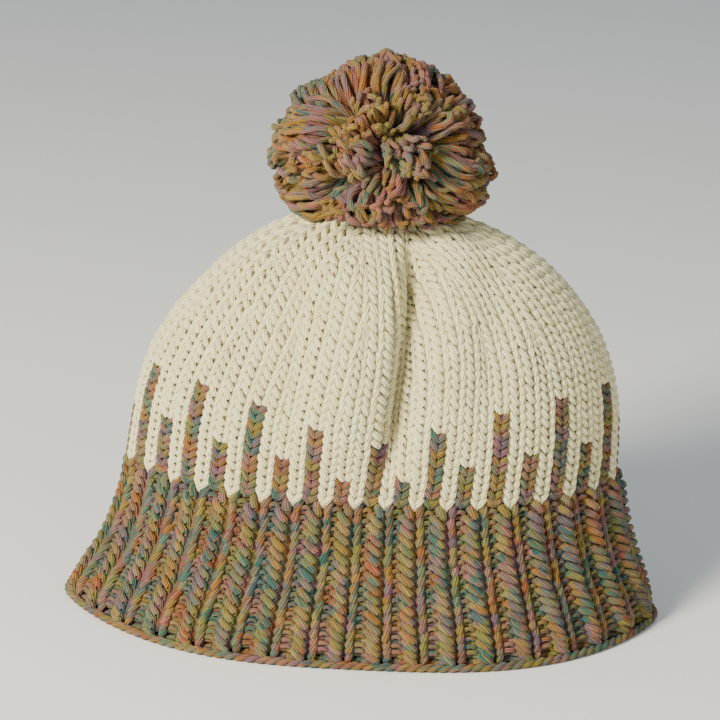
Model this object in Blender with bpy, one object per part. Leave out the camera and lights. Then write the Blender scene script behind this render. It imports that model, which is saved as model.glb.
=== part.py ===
"""A knitted bobble hat standing on its rim.

Five pieces, from the floor up: the cast-on edge, the flared rib band, the drip band where both
yarns are knitted together, the crown with its front crease, and the yarn bobble on top.
Metres, +Z up, the front towards -Y, the origin on the floor in the middle of the rim.
"""

import math
from collections import namedtuple

import bmesh
import bpy
import numpy as np
from mathutils import Vector

# The rim and the crown
RIM_HALF_WIDTH = 0.1285
RIM_HALF_DEPTH = 0.0700
RIM_FLATNESS = 3.0
RIM_EDGE = 1.15
BAND_HEIGHT = 0.0640
CROWN_HALF_WIDTH = 0.1045
CROWN_HALF_DEPTH = 0.0540
CROWN_HEIGHT = 0.1130
CROWN_LEAN = 0.0052
DRIP_BAND_HEIGHT = 0.0440

# How far the fold down each side is rounded over, at most this share of the way round
SIDE_ROUNDING = 0.0220
SIDE_ROUNDING_SHARE = 0.04

# Walls and clearances
CROWN_WALL = 0.0050
BAND_WALL = 0.0052
PIECE_GAP = 0.0003

# How far the rib band stands proud of the crown at its upper edge
BAND_PROUD_LEFT = 0.0010
BAND_PROUD_RIGHT = 0.0042
BAND_PROUD_FRONT = 0.0020
BAND_PROUD_BACK = 0.0020

# Ribs of the band: one knit wale and one purl wale each, closer together at the front and back by
# this share and wider apart at the sides
RIB_COUNT = 36
RIB_DEPTH = 0.0022
RIB_SPREAD = 0.14

# The cast-on edge
EDGE_WIDTH = 0.0072
EDGE_HEIGHT = 0.0046
EDGE_ROUNDING = 0.0014

# The bobble
BOBBLE_HALF_WIDTH = 0.0455
BOBBLE_HALF_HEIGHT = 0.0385
BOBBLE_CORE_RADIUS = 0.0250
LOCK_COUNT = 58
LOCK_RADIUS = 0.0088
LOCK_LOWEST = -0.56
LOCK_ROOT = 0.25
LOCK_TAPER = 0.25
LOCK_BLUNTNESS = 0.5
LOCK_FULLNESS = 0.6

# How finely the faceted surfaces are cut
CROWN_COLUMNS = 64
CROWN_RINGS = 11
DRIP_RINGS = 2
BAND_RINGS = 5
RIB_POINTS = 3
EDGE_COLUMNS = 64
RING_SAMPLES = 1440
RING_POINTS = 720
SLOPE_STEP = 0.004
SMALLEST = 1e-9
LOCK_SIDES = 6
LOCK_RINGS = 5
CORE_SIDES = 16

# The flare of the band. up is a share of the band's height. The other columns are shares of how
# far the rim stands out past the band's upper edge on that side.
BandRow = namedtuple("BandRow", "up left right front back")
BAND_ROWS = [
    BandRow(0.00, 1.00, 1.00, 1.00, 1.00),
    BandRow(0.12, 0.95, 0.97, 0.95, 0.95),
    BandRow(0.27, 0.74, 0.80, 0.80, 0.80),
    BandRow(0.42, 0.47, 0.57, 0.60, 0.60),
    BandRow(0.57, 0.28, 0.37, 0.40, 0.40),
    BandRow(0.72, 0.14, 0.20, 0.21, 0.21),
    BandRow(0.86, 0.04, 0.08, 0.08, 0.08),
    BandRow(1.00, 0.00, 0.00, 0.00, 0.00),
]

# The crown from the band's upper edge to the top. up is a share of the crown's height, width and
# depth are shares of its half width and half depth, and lean is a share of how far it leans to
# the right. flatness and edge shape the section, which is an oval when both are 2: a higher
# flatness flattens the front and back, and a lower edge sharpens the fold down each side.
CrownRow = namedtuple("CrownRow", "up width depth lean flatness edge")
CROWN_ROWS = [
    CrownRow(0.000, 1.000, 1.000, 0.30, 3.00, 1.15),
    CrownRow(0.149, 0.988, 1.040, 0.50, 2.95, 1.20),
    CrownRow(0.297, 0.968, 1.060, 0.62, 2.85, 1.26),
    CrownRow(0.442, 0.924, 1.030, 0.72, 2.70, 1.34),
    CrownRow(0.576, 0.850, 0.970, 0.88, 2.55, 1.44),
    CrownRow(0.696, 0.750, 0.880, 1.00, 2.40, 1.56),
    CrownRow(0.806, 0.632, 0.760, 0.95, 2.28, 1.70),
    CrownRow(0.891, 0.494, 0.610, 0.80, 2.16, 1.84),
    CrownRow(0.953, 0.340, 0.430, 0.62, 2.06, 1.94),
    CrownRow(0.988, 0.172, 0.220, 0.48, 2.00, 2.00),
    CrownRow(1.000, 0.000, 0.000, 0.40, 2.00, 2.00),
]

# Folds that run up the front. foot and head are the distances from the middle of the front to the
# right at the crown's foot and top, and half_width how far the fold reaches to each side, all as
# shares of the crown's half width. rise is a share of the crown's wall, and below nothing it is a
# valley. bottom and top are shares of the crown's height.
FoldRow = namedtuple("FoldRow", "foot head rise half_width bottom top")
FOLD_ROWS = [
    FoldRow(0.050, 0.090, -1.00, 0.050, 0.06, 0.93),
    FoldRow(-0.045, -0.020, 0.60, 0.070, 0.05, 0.95),
    FoldRow(-0.340, -0.340, -0.30, 0.080, 0.25, 0.95),
    FoldRow(0.420, 0.420, -0.25, 0.090, 0.30, 0.95),
]
FOLD_FADE = 0.18

# How far the bobble's locks reach in the front view, as shares of its own oval. turn goes from
# the right over the top, in degrees.
LobeRow = namedtuple("LobeRow", "turn reach")
LOBE_ROWS = [
    LobeRow(0, 0.90),
    LobeRow(30, 0.91),
    LobeRow(60, 0.92),
    LobeRow(90, 1.00),
    LobeRow(112, 0.95),
    LobeRow(132, 0.84),
    LobeRow(152, 0.96),
    LobeRow(180, 1.04),
    LobeRow(205, 1.08),
    LobeRow(270, 1.00),
    LobeRow(335, 1.08),
    LobeRow(350, 1.04),
    LobeRow(360, 0.90),
]

# The gathers under the bobble
GATHER_COUNT = 8
GATHER_DEPTH = 0.0012
GATHER_START = 0.62
GATHER_FULL = 0.86


def between(rows, column, places):
    """A column of a table at these places of its rows, from 0 to 1, on a smooth curve."""
    values = np.array([getattr(row, column) for row in rows], float)
    stations = np.linspace(0.0, 1.0, len(rows))
    slopes = np.gradient(values, stations)
    places = np.clip(np.asarray(places, float), 0.0, 1.0)
    index = np.clip(np.searchsorted(stations, places, side="right") - 1, 0, len(rows) - 2)
    step = stations[index + 1] - stations[index]
    t = (places - stations[index]) / step
    return (
        (2 * t**3 - 3 * t**2 + 1) * values[index]
        + (t**3 - 2 * t**2 + t) * step * slopes[index]
        + (3 * t**2 - 2 * t**3) * values[index + 1]
        + (t**3 - t**2) * step * slopes[index + 1]
    )


def step_up(value, low, high):
    """0 below low, 1 above high and a smooth rise between them."""
    t = np.clip((value - low) / (high - low), 0.0, 1.0)
    return t * t * (3 - 2 * t)


Section = namedtuple("Section", "height left right front back lean flatness edge")


def crown_section(along):
    """The crown's section at a place along its meridian: 0 at the band, 1 at the top."""
    half_width = CROWN_HALF_WIDTH * float(between(CROWN_ROWS, "width", along))
    half_depth = CROWN_HALF_DEPTH * float(between(CROWN_ROWS, "depth", along))
    return Section(
        BAND_HEIGHT + CROWN_HEIGHT * float(between(CROWN_ROWS, "up", along)),
        half_width,
        half_width,
        half_depth,
        half_depth,
        CROWN_LEAN * float(between(CROWN_ROWS, "lean", along)),
        float(between(CROWN_ROWS, "flatness", along)),
        float(between(CROWN_ROWS, "edge", along)),
    )


def band_section(along):
    """The rib band's section at a place up its height: 0 at the rim, 1 at its upper edge."""
    top = crown_section(0.0)
    sides = {
        "left": (top.left + BAND_PROUD_LEFT - top.lean, RIM_HALF_WIDTH),
        "right": (top.right + BAND_PROUD_RIGHT + top.lean, RIM_HALF_WIDTH),
        "front": (top.front + BAND_PROUD_FRONT, RIM_HALF_DEPTH),
        "back": (top.back + BAND_PROUD_BACK, RIM_HALF_DEPTH),
    }
    reach = {
        side: upper + (rim - upper) * float(between(BAND_ROWS, side, along))
        for side, (upper, rim) in sides.items()
    }
    height = BAND_HEIGHT * float(between(BAND_ROWS, "up", along))
    flare = float(between(BAND_ROWS, "front", along))
    flatness = top.flatness + (RIM_FLATNESS - top.flatness) * flare
    edge = top.edge + (RIM_EDGE - top.edge) * flare
    return Section(height, lean=0.0, flatness=flatness, edge=edge, **reach)


def stretched(values, high, low):
    """The values with their two ends moved out to high and to minus low."""
    up = high / max(values.max(), SMALLEST)
    down = low / max(-values.min(), SMALLEST)
    return values * np.where(values > 0, up, down)


def outline(section):
    """Points at even steps round a section, from the middle of the front over the right.

    The section is an oval whose powers are its flatness and its edge. It is blurred along its
    own length, which rounds the fold down each side, and stretched back to its half widths.
    """
    angle = np.linspace(0.0, 2 * math.pi, RING_SAMPLES, endpoint=False)
    across = np.sign(np.sin(angle)) * np.abs(np.sin(angle)) ** (2.0 / section.flatness)
    out = np.sign(np.cos(angle)) * np.abs(np.cos(angle)) ** (2.0 / section.edge)
    x = across * np.where(across > 0, section.right, section.left)
    y = -out * np.where(out > 0, section.front, section.back)
    closed = np.stack([np.append(x, x[0]), np.append(y, y[0])], axis=1)
    length = np.concatenate([[0.0], np.cumsum(np.linalg.norm(np.diff(closed, axis=0), axis=1))])
    place = np.linspace(0.0, length[-1], RING_POINTS, endpoint=False)
    rounding = min(SIDE_ROUNDING / max(length[-1], SMALLEST), SIDE_ROUNDING_SHARE)
    window = np.hanning(2 * max(int(rounding * RING_POINTS), 1) + 1)
    window /= window.sum()
    blurred = []
    for k in (0, 1):
        even = np.interp(place, length, closed[:, k])
        blurred.append(np.convolve(np.tile(even, 3), window, "same")[RING_POINTS : 2 * RING_POINTS])
    x = stretched(blurred[0], section.right, section.left) + section.lean
    y = stretched(blurred[1], section.back, section.front)
    return np.stack([x, y], axis=1)


def ring(section, shares):
    """Points of a section at these shares of its length round, with the sideways normals."""
    points = outline(section)
    closed = np.vstack([points, points[:1]])
    length = np.concatenate([[0.0], np.cumsum(np.linalg.norm(np.diff(closed, axis=0), axis=1))])
    place = (np.asarray(shares) % 1.0) * length[-1]
    x = np.interp(place, length, closed[:, 0])
    y = np.interp(place, length, closed[:, 1])
    ahead = np.roll(points, -1, axis=0) - np.roll(points, 1, axis=0)
    turn = np.stack([ahead[:, 1], -ahead[:, 0]], axis=1)
    turn /= np.maximum(np.linalg.norm(turn, axis=1, keepdims=True), SMALLEST)
    turn = np.vstack([turn, turn[:1]])
    normal = np.stack([np.interp(place, length, turn[:, k]) for k in (0, 1)], axis=1)
    normal /= np.maximum(np.linalg.norm(normal, axis=1, keepdims=True), SMALLEST)
    flat = np.stack([x, y, np.full(len(x), section.height)], axis=1)
    return flat, np.hstack([normal, np.zeros((len(x), 1))]), length[-1]


def fold_relief(shares, length, along):
    """How far the folds and gathers lift the crown's surface, outwards."""
    across = (shares + 0.5) % 1.0 - 0.5
    height = float(between(CROWN_ROWS, "up", along))
    lift = np.zeros(len(shares))
    for fold in FOLD_ROWS:
        middle = fold.foot + (fold.head - fold.foot) * height
        distance = across * length - middle * CROWN_HALF_WIDTH
        spread = fold.half_width * CROWN_HALF_WIDTH
        present = step_up(height, fold.bottom - FOLD_FADE, fold.bottom + FOLD_FADE)
        present *= 1 - step_up(height, fold.top - FOLD_FADE, fold.top)
        lift += fold.rise * CROWN_WALL * present * np.exp(-((distance / spread) ** 2))
    gathered = step_up(along, GATHER_START, GATHER_FULL) * (1 - step_up(along, GATHER_FULL, 1.0))
    return lift + GATHER_DEPTH * gathered * np.cos(2 * math.pi * GATHER_COUNT * shares)


def crown_rings(along, shares, level=False):
    """The crown's outer and inner points at one place along the meridian.

    A level ring has its inner points at the same height, as where a piece ends.
    """
    here, sideways, length = ring(crown_section(along), shares)
    above, _, _ = ring(crown_section(min(along + SLOPE_STEP, 1.0)), shares)
    below, _, _ = ring(crown_section(max(along - SLOPE_STEP, 0.0)), shares)
    upward = above - below
    tangent = np.cross(np.array([0.0, 0.0, 1.0]), sideways)
    normal = np.cross(tangent, upward)
    normal /= np.linalg.norm(normal, axis=1, keepdims=True)
    if level:
        normal = sideways
    outer = here + normal * fold_relief(shares, length, along)[:, None]
    return outer, outer - normal * CROWN_WALL


def band_rings(along, shares):
    """The rib band's outer and inner points at one place up its height."""
    here, sideways, _ = ring(band_section(along), shares)
    valley = np.arange(len(shares)) % RIB_POINTS == 0
    outer = here - sideways * (RIB_DEPTH * valley)[:, None]
    return outer, outer - sideways * BAND_WALL


def loft(name, rings, poles=()):
    """A closed mesh through rings of equal count.

    Without poles the last ring joins the first. With two poles, the first closes the end of the
    rings and the second closes their start.
    """
    count = len(rings[0])
    points = np.vstack([*rings, *[np.atleast_2d(pole) for pole in poles]])
    faces = []
    last = len(rings) - 1
    pairs = [(k, k + 1) for k in range(last)]
    if not poles:
        pairs.append((last, 0))
    for low, high in pairs:
        for i in range(count):
            j = (i + 1) % count
            faces.append((low * count + i, low * count + j, high * count + j, high * count + i))
    if poles:
        end, start = len(rings) * count, len(rings) * count + 1
        for i in range(count):
            j = (i + 1) % count
            faces.append((last * count + i, last * count + j, end))
            faces.append((j, i, start))
    mesh = bpy.data.meshes.new(name)
    mesh.from_pydata(points.tolist(), [], faces)
    mesh.validate()
    mesh.shade_smooth()
    mesh.set_sharp_from_angle(angle=math.radians(50))
    return mesh


def yarn_material(name, colour, roughness):
    """A plain wool finish."""
    material = bpy.data.materials.new(name)
    material.use_nodes = True
    shader = material.node_tree.nodes["Principled BSDF"]
    shader.inputs["Base Color"].default_value = (*colour, 1.0)
    shader.inputs["Roughness"].default_value = roughness
    shader.inputs["Metallic"].default_value = 0.0
    material.diffuse_color = (*colour, 1.0)
    return material


def place(name, mesh, material, collection):
    """An object for a mesh that is already at its place in the hat."""
    item = bpy.data.objects.new(name, mesh)
    mesh.materials.clear()
    mesh.materials.append(material)
    collection.objects.link(item)
    return item


def crown_columns():
    """Even places round the crown, twice as close across the front where the crease is."""
    even = np.arange(CROWN_COLUMNS) / CROWN_COLUMNS
    front = (even + 0.5) % 1.0 - 0.5
    close = even[(front > -0.05) & (front < 0.06)] + 0.5 / CROWN_COLUMNS
    return np.sort(np.concatenate([even, close % 1.0]))


def drip_top_along():
    """The place along the crown's meridian where the drip band ends."""
    fine = np.linspace(0.0, 1.0, 2001)
    return float(np.interp(DRIP_BAND_HEIGHT / CROWN_HEIGHT, between(CROWN_ROWS, "up", fine), fine))


def make_cast_on_edge(collection, material):
    """The rolled cast-on edge: a rounded bar round the rim with a flat foot."""
    shares = (np.arange(EDGE_COLUMNS) + 0.5) / EDGE_COLUMNS
    base, sideways, _ = ring(band_section(0.0), shares)
    outwards = (EDGE_WIDTH - BAND_WALL) / 2
    corner = EDGE_ROUNDING
    profile = [
        (corner, 0.0),
        (0.0, corner),
        (0.0, EDGE_HEIGHT - corner),
        (corner, EDGE_HEIGHT),
        (EDGE_WIDTH - corner, EDGE_HEIGHT),
        (EDGE_WIDTH, EDGE_HEIGHT - corner),
        (EDGE_WIDTH, corner),
        (EDGE_WIDTH - corner, 0.0),
    ]
    rings = []
    for inwards, height in profile:
        points = base + sideways * (outwards - inwards - RIB_DEPTH / 2)
        points[:, 2] = height
        rings.append(points)
    return place("cast_on_edge", loft("cast_on_edge", rings), material, collection)


def make_rib_band(collection, material):
    """The flared band of ribs, from the cast-on edge to the drip band."""
    even = np.arange(RIB_COUNT * RIB_POINTS) / (RIB_COUNT * RIB_POINTS)
    shares = even - RIB_SPREAD * np.sin(4 * math.pi * even) / (4 * math.pi)
    pairs = [band_rings(along, shares) for along in np.linspace(0.0, 1.0, BAND_RINGS + 1)]
    outer = [pair[0] for pair in pairs]
    inner = [pair[1] for pair in pairs]
    for walls in (outer, inner):
        walls[0][:, 2] = EDGE_HEIGHT + PIECE_GAP
        walls[-1][:, 2] = BAND_HEIGHT
    return place("rib_band", loft("rib_band", outer + inner[::-1]), material, collection)


def make_drip_band(collection, material):
    """The band where the coloured yarn runs up into the crown."""
    shares = crown_columns()
    stops = np.linspace(0.0, drip_top_along(), DRIP_RINGS + 1)
    pairs = [crown_rings(along, shares, level=along in (stops[0], stops[-1])) for along in stops]
    outer = [pair[0] for pair in pairs]
    inner = [pair[1] for pair in pairs]
    for walls in (outer, inner):
        walls[0][:, 2] = BAND_HEIGHT + PIECE_GAP
        walls[-1][:, 2] = BAND_HEIGHT + DRIP_BAND_HEIGHT
    return place("drip_band", loft("drip_band", outer + inner[::-1]), material, collection)


def make_crown(collection, material):
    """The dome above the drip band, closed at the top where the last stitches are drawn in."""
    shares = crown_columns()
    start = drip_top_along()
    stops = np.linspace(start, 1.0, CROWN_RINGS + 1)[:-1]
    pairs = [crown_rings(along, shares, level=along == start) for along in stops]
    outer = [pair[0] for pair in pairs]
    inner = [pair[1] for pair in pairs]
    for walls in (outer, inner):
        walls[0][:, 2] = BAND_HEIGHT + DRIP_BAND_HEIGHT + PIECE_GAP
    top = crown_section(1.0)
    peak = np.array([top.lean, 0.0, top.height])
    inside = peak - np.array([0.0, 0.0, CROWN_WALL])
    mesh = loft("crown", inner[::-1] + outer, poles=(peak, inside))
    return place("crown", mesh, material, collection)


def lock_directions():
    """Directions spread evenly over a ball, without those that would point into the crown."""
    turn = math.pi * (3.0 - math.sqrt(5.0))
    total = round(LOCK_COUNT / (0.5 * (1.0 - LOCK_LOWEST)))
    found = []
    for k in range(total):
        up = 1.0 - (2.0 * k + 1.0) / total
        if up < LOCK_LOWEST:
            continue
        out = math.sqrt(1.0 - up * up)
        found.append(Vector((out * math.cos(turn * k), out * math.sin(turn * k), up)))
    return found


def bobble_centre():
    """The middle of the bobble, whose core rests on the top of the crown."""
    top = crown_section(1.0)
    return Vector((top.lean, 0.0, top.height + PIECE_GAP + BOBBLE_CORE_RADIUS))


def lobe_reach(direction):
    """How far the bobble reaches along a direction, as a share of its oval."""
    turn = math.degrees(math.atan2(direction.z, direction.x)) % 360.0
    reach = float(np.interp(turn, [row.turn for row in LOBE_ROWS], [row.reach for row in LOBE_ROWS]))
    return 1.0 + (reach - 1.0) * (1.0 - direction.y**2)


def lock_mesh(name, half_length):
    """A lock of yarn along Z: narrow at its root and blunt at its cut end."""
    tuft = bmesh.new()
    bmesh.ops.create_uvsphere(tuft, u_segments=LOCK_SIDES, v_segments=LOCK_RINGS, radius=1.0)
    for vert in tuft.verts:
        radius = math.hypot(vert.co.x, vert.co.y)
        along = math.copysign(abs(vert.co.z) ** LOCK_BLUNTNESS, vert.co.z)
        wider = radius ** (LOCK_FULLNESS - 1.0) if radius > SMALLEST else 0.0
        width = LOCK_RADIUS * (1.0 - LOCK_TAPER + LOCK_TAPER * along) * wider
        vert.co = (vert.co.x * width, vert.co.y * width, half_length * along)
    shape = bpy.data.meshes.new(name)
    tuft.to_mesh(shape)
    tuft.free()
    return shape


def make_bobble(collection, cutters, material):
    """The bobble: blunt locks of yarn round a ball, joined into one body."""
    centre = bobble_centre()
    mesh = bpy.data.meshes.new("bobble")
    ball = bmesh.new()
    bmesh.ops.create_uvsphere(
        ball, u_segments=CORE_SIDES, v_segments=CORE_SIDES // 2, radius=BOBBLE_CORE_RADIUS
    )
    ball.to_mesh(mesh)
    ball.free()
    bobble = place("bobble", mesh, material, collection)
    bobble.location = centre
    stretch = Vector((BOBBLE_HALF_WIDTH, BOBBLE_HALF_WIDTH, BOBBLE_HALF_HEIGHT))
    for number, direction in enumerate(lock_directions()):
        tip = direction * stretch * lobe_reach(direction)
        root = tip.normalized() * (LOCK_ROOT * BOBBLE_CORE_RADIUS)
        shape = lock_mesh(f"lock_{number:02d}", (tip - root).length / 2)
        lock = bpy.data.objects.new(shape.name, shape)
        lock.location = centre + (root + tip) / 2
        lock.rotation_mode = "QUATERNION"
        lock.rotation_quaternion = tip.to_track_quat("Z", "Y")
        lock.hide_render = True
        lock.display_type = "WIRE"
        cutters.objects.link(lock)
    join = bobble.modifiers.new("join the locks", "BOOLEAN")
    join.operation = "UNION"
    join.operand_type = "COLLECTION"
    join.collection = cutters
    join.solver = "EXACT"
    return bobble


def main():
    """Clears the scene and builds the hat."""
    for item in list(bpy.data.objects):
        bpy.data.objects.remove(item)
    hat = bpy.data.collections.new("bobble_hat")
    cutters = bpy.data.collections.new("bobble_locks")
    for collection in (hat, cutters):
        bpy.context.scene.collection.children.link(collection)
    cream = yarn_material("cream_wool", (0.74, 0.70, 0.55), 0.9)
    mixed = yarn_material("mixed_wool", (0.36, 0.26, 0.12), 0.9)
    make_cast_on_edge(hat, mixed)
    make_rib_band(hat, mixed)
    make_drip_band(hat, cream)
    make_crown(hat, cream)
    make_bobble(hat, cutters, mixed)


main()
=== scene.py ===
"""The looks of a knitted bobble hat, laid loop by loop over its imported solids.

The fabric is real loops of yarn. A form gives the middle surface of the fabric, a chart says
where each wale runs and which yarn shows in it, and a skein turns the yarns' paths into tubes.
Wales are the upright columns of stitches and courses are the level rows. Metres throughout.
"""

import logging
import math
from collections.abc import Iterable, Sequence
from dataclasses import dataclass, field
from enum import Enum
from typing import NamedTuple

import bpy
import numpy as np
from mathutils import Matrix, Vector


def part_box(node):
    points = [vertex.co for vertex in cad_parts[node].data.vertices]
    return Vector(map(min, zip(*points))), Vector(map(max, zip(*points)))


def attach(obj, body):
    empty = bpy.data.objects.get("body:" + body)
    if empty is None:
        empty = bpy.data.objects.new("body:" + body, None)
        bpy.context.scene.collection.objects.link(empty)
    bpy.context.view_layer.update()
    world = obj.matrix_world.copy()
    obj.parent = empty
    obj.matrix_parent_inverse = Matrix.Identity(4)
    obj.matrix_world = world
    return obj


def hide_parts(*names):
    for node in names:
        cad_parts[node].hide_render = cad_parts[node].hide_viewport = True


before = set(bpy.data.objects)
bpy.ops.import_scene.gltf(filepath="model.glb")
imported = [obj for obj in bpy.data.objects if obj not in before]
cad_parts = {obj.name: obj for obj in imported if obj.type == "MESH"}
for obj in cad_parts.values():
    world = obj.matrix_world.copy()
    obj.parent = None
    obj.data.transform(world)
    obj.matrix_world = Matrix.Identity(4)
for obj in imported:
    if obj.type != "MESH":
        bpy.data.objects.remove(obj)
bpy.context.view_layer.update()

LOG = logging.getLogger("bobble_hat")
Array = np.ndarray
Colour = tuple[float, float, float]
Place = tuple[float, float, float]
Pair = tuple[float, float]
SMALLEST = 1e-9
LINE_WALES = 3


class BandRow(NamedTuple):
    """A height of the rib band, as a share, and how much of the flare each side has there."""

    up: float
    left: float
    right: float
    front: float
    back: float


BAND_ROWS = (
    BandRow(0.00, 1.00, 1.00, 1.00, 1.00),
    BandRow(0.12, 0.95, 0.97, 0.95, 0.95),
    BandRow(0.27, 0.74, 0.80, 0.80, 0.80),
    BandRow(0.42, 0.47, 0.57, 0.60, 0.60),
    BandRow(0.57, 0.28, 0.37, 0.40, 0.40),
    BandRow(0.72, 0.14, 0.20, 0.21, 0.21),
    BandRow(0.86, 0.04, 0.08, 0.08, 0.08),
    BandRow(1.00, 0.00, 0.00, 0.00, 0.00),
)


class CrownRow(NamedTuple):
    """A height of the crown with its width, depth and lean there, as shares of the crown's own.

    flatness flattens the front and back, and a lower edge sharpens the fold down each side.
    """

    up: float
    width: float
    depth: float
    lean: float
    flatness: float
    edge: float


CROWN_ROWS = (
    CrownRow(0.000, 1.000, 1.000, 0.30, 3.00, 1.15),
    CrownRow(0.149, 0.988, 1.040, 0.50, 2.95, 1.20),
    CrownRow(0.297, 0.968, 1.060, 0.62, 2.85, 1.26),
    CrownRow(0.442, 0.924, 1.030, 0.72, 2.70, 1.34),
    CrownRow(0.576, 0.850, 0.970, 0.88, 2.55, 1.44),
    CrownRow(0.696, 0.750, 0.880, 1.00, 2.40, 1.56),
    CrownRow(0.806, 0.632, 0.760, 0.95, 2.28, 1.70),
    CrownRow(0.891, 0.494, 0.610, 0.80, 2.16, 1.84),
    CrownRow(0.953, 0.340, 0.430, 0.62, 2.06, 1.94),
    CrownRow(0.988, 0.172, 0.220, 0.48, 2.00, 2.00),
    CrownRow(1.000, 0.000, 0.000, 0.40, 2.00, 2.00),
)


class FoldRow(NamedTuple):
    """A fold up the front: how far across it stands at its foot and head and half_width as shares
    of the crown's half width, rise as a share of the wall, the heights where it shows, and how
    many times wider its right flank is."""

    foot: float
    head: float
    rise: float
    half_width: float
    bottom: float
    top: float
    right_flank: float


FOLD_ROWS = (
    FoldRow(0.034, 0.082, -1.95, 0.033, 0.20, 0.99, 2.6),
    FoldRow(-0.150, -0.120, 0.55, 0.125, 0.20, 0.95, 1.0),
    FoldRow(-0.340, -0.340, -0.30, 0.080, 0.25, 0.95, 1.0),
    FoldRow(0.420, 0.420, -0.25, 0.090, 0.30, 0.95, 1.0),
)


class LobeRow(NamedTuple):
    """How far the bobble reaches in the front view, as a share of its oval, at a turn in degrees
    from the right over the top."""

    turn: float
    reach: float


LOBE_ROWS = (
    LobeRow(0, 0.90),
    LobeRow(30, 0.91),
    LobeRow(60, 0.92),
    LobeRow(90, 1.00),
    LobeRow(112, 0.95),
    LobeRow(132, 0.84),
    LobeRow(152, 0.96),
    LobeRow(180, 1.04),
    LobeRow(205, 1.08),
    LobeRow(270, 1.00),
    LobeRow(335, 1.08),
    LobeRow(350, 1.04),
    LobeRow(360, 0.90),
)


class LoopPoint(NamedTuple):
    """A point of a stitch's yarn: across in wale widths from the wale's middle, up in courses
    from the stitch's foot, and out in yarn diameters from the middle of the fabric."""

    across: float
    up: float
    out: float


LEFT_LEG = (
    LoopPoint(0.02, 0.12, -0.12),
    LoopPoint(-0.06, 0.36, 0.42),
    LoopPoint(-0.21, 0.72, 0.64),
    LoopPoint(-0.37, 1.06, 0.42),
    LoopPoint(-0.48, 1.34, -0.14),
)
HEAD = (
    LoopPoint(-0.30, 1.62, -0.66),
    LoopPoint(0.00, 1.72, -0.76),
    LoopPoint(0.28, 1.66, -0.62),
)
STEEP_RIGHT_LEG = (
    LoopPoint(0.36, 1.44, -0.12),
    LoopPoint(0.36, 1.10, 0.36),
    LoopPoint(0.335, 0.72, 0.50),
    LoopPoint(0.305, 0.35, 0.42),
    LoopPoint(0.27, 0.06, 0.00),
)
SINKER = LoopPoint(-0.50, 0.00, -0.75)
FLOAT_PATH = (
    LoopPoint(-0.30, 0.10, -1.15),
    LoopPoint(0.05, 0.14, -1.30),
    LoopPoint(0.40, 0.10, -1.15),
)


class Stitch(Enum):
    """What a yarn does in one wale of a course."""

    KNIT = "knit"
    PURL = "purl"
    FLOAT = "float"


def between(rows: Sequence, column: str, places: Array | float) -> Array:
    """A column of a table at these places of its rows, from 0 to 1, on a smooth curve.

    The curve is a cubic Hermite one through the rows at equal stations, with the slopes that the
    neighbouring rows give.

    Args:
        rows: the table.
        column: the name of its column.
        places: where to read it.

    Returns:
        The values at those places.
    """
    values = np.array([getattr(row, column) for row in rows], float)
    stations = np.linspace(0.0, 1.0, len(rows))
    slopes = np.gradient(values, stations)
    places = np.clip(np.asarray(places, float), 0.0, 1.0)
    index = np.clip(np.searchsorted(stations, places, side="right") - 1, 0, len(rows) - 2)
    step = stations[index + 1] - stations[index]
    t = (places - stations[index]) / step
    return (
        (2 * t**3 - 3 * t**2 + 1) * values[index]
        + (t**3 - 2 * t**2 + t) * step * slopes[index]
        + (3 * t**2 - 2 * t**3) * values[index + 1]
        + (t**3 - t**2) * step * slopes[index + 1]
    )


def row_at(rows: Sequence[NamedTuple], place: float) -> NamedTuple:
    """A whole row of a table at a place of its rows, from 0 to 1."""
    kind = type(rows[0])
    return kind(*(float(between(rows, name, place)) for name in kind._fields))


def step_up(value: Array | float, low: float, high: float) -> Array:
    """0 below low, 1 above high, and 3t squared less 2t cubed between them."""
    t = np.clip((np.asarray(value, float) - low) / (high - low), 0.0, 1.0)
    return t * t * (3 - 2 * t)


def unit(vectors: Array) -> Array:
    """The vectors along the last axis, each divided by its length."""
    return vectors / np.maximum(np.linalg.norm(vectors, axis=-1, keepdims=True), SMALLEST)


def lengths_along(points: Array) -> Array:
    """The running length along a path, from 0 at its first point."""
    steps = np.linalg.norm(np.diff(points, axis=0), axis=1)
    return np.concatenate([[0.0], np.cumsum(steps)])


def even_ring(points: Array, count: int) -> tuple[Array, float]:
    """A closed ring of points at so many even steps along itself, and its whole length.

    Args:
        points: the ring's points, in order.
        count: how many points it gets.

    Returns:
        The even points, and the ring's length.
    """
    closed = np.vstack([points, points[:1]])
    length = lengths_along(closed)
    place = np.linspace(0.0, length[-1], count, endpoint=False)
    even = np.stack([np.interp(place, length, column) for column in closed.T], axis=1)
    return even, length[-1]


def lengths_round(grid: Array) -> Array:
    """The length round each row of a grid of points, whose rows are closed rings."""
    closed = np.concatenate([grid, grid[:, :1]], axis=1)
    return np.linalg.norm(np.diff(closed, axis=1), axis=2).sum(axis=1)


def hann_window(half: int) -> Array:
    """Weights that rise and fall over a middle and so many steps to each side, and sum to 1."""
    window = np.hanning(2 * half + 1)
    return window / window.sum()


def add_object(name: str, data: bpy.types.ID) -> bpy.types.Object:
    """An object of this data, linked to the scene."""
    item = bpy.data.objects.new(name, data)
    bpy.context.scene.collection.objects.link(item)
    return item


def at_corners(shape: tuple[int, ...], *values: Array) -> Array:
    """Values at each corner of a grid of faces, spread over its shape and stacked last."""
    return np.stack([np.broadcast_to(value, shape) for value in values], axis=-1)


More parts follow.
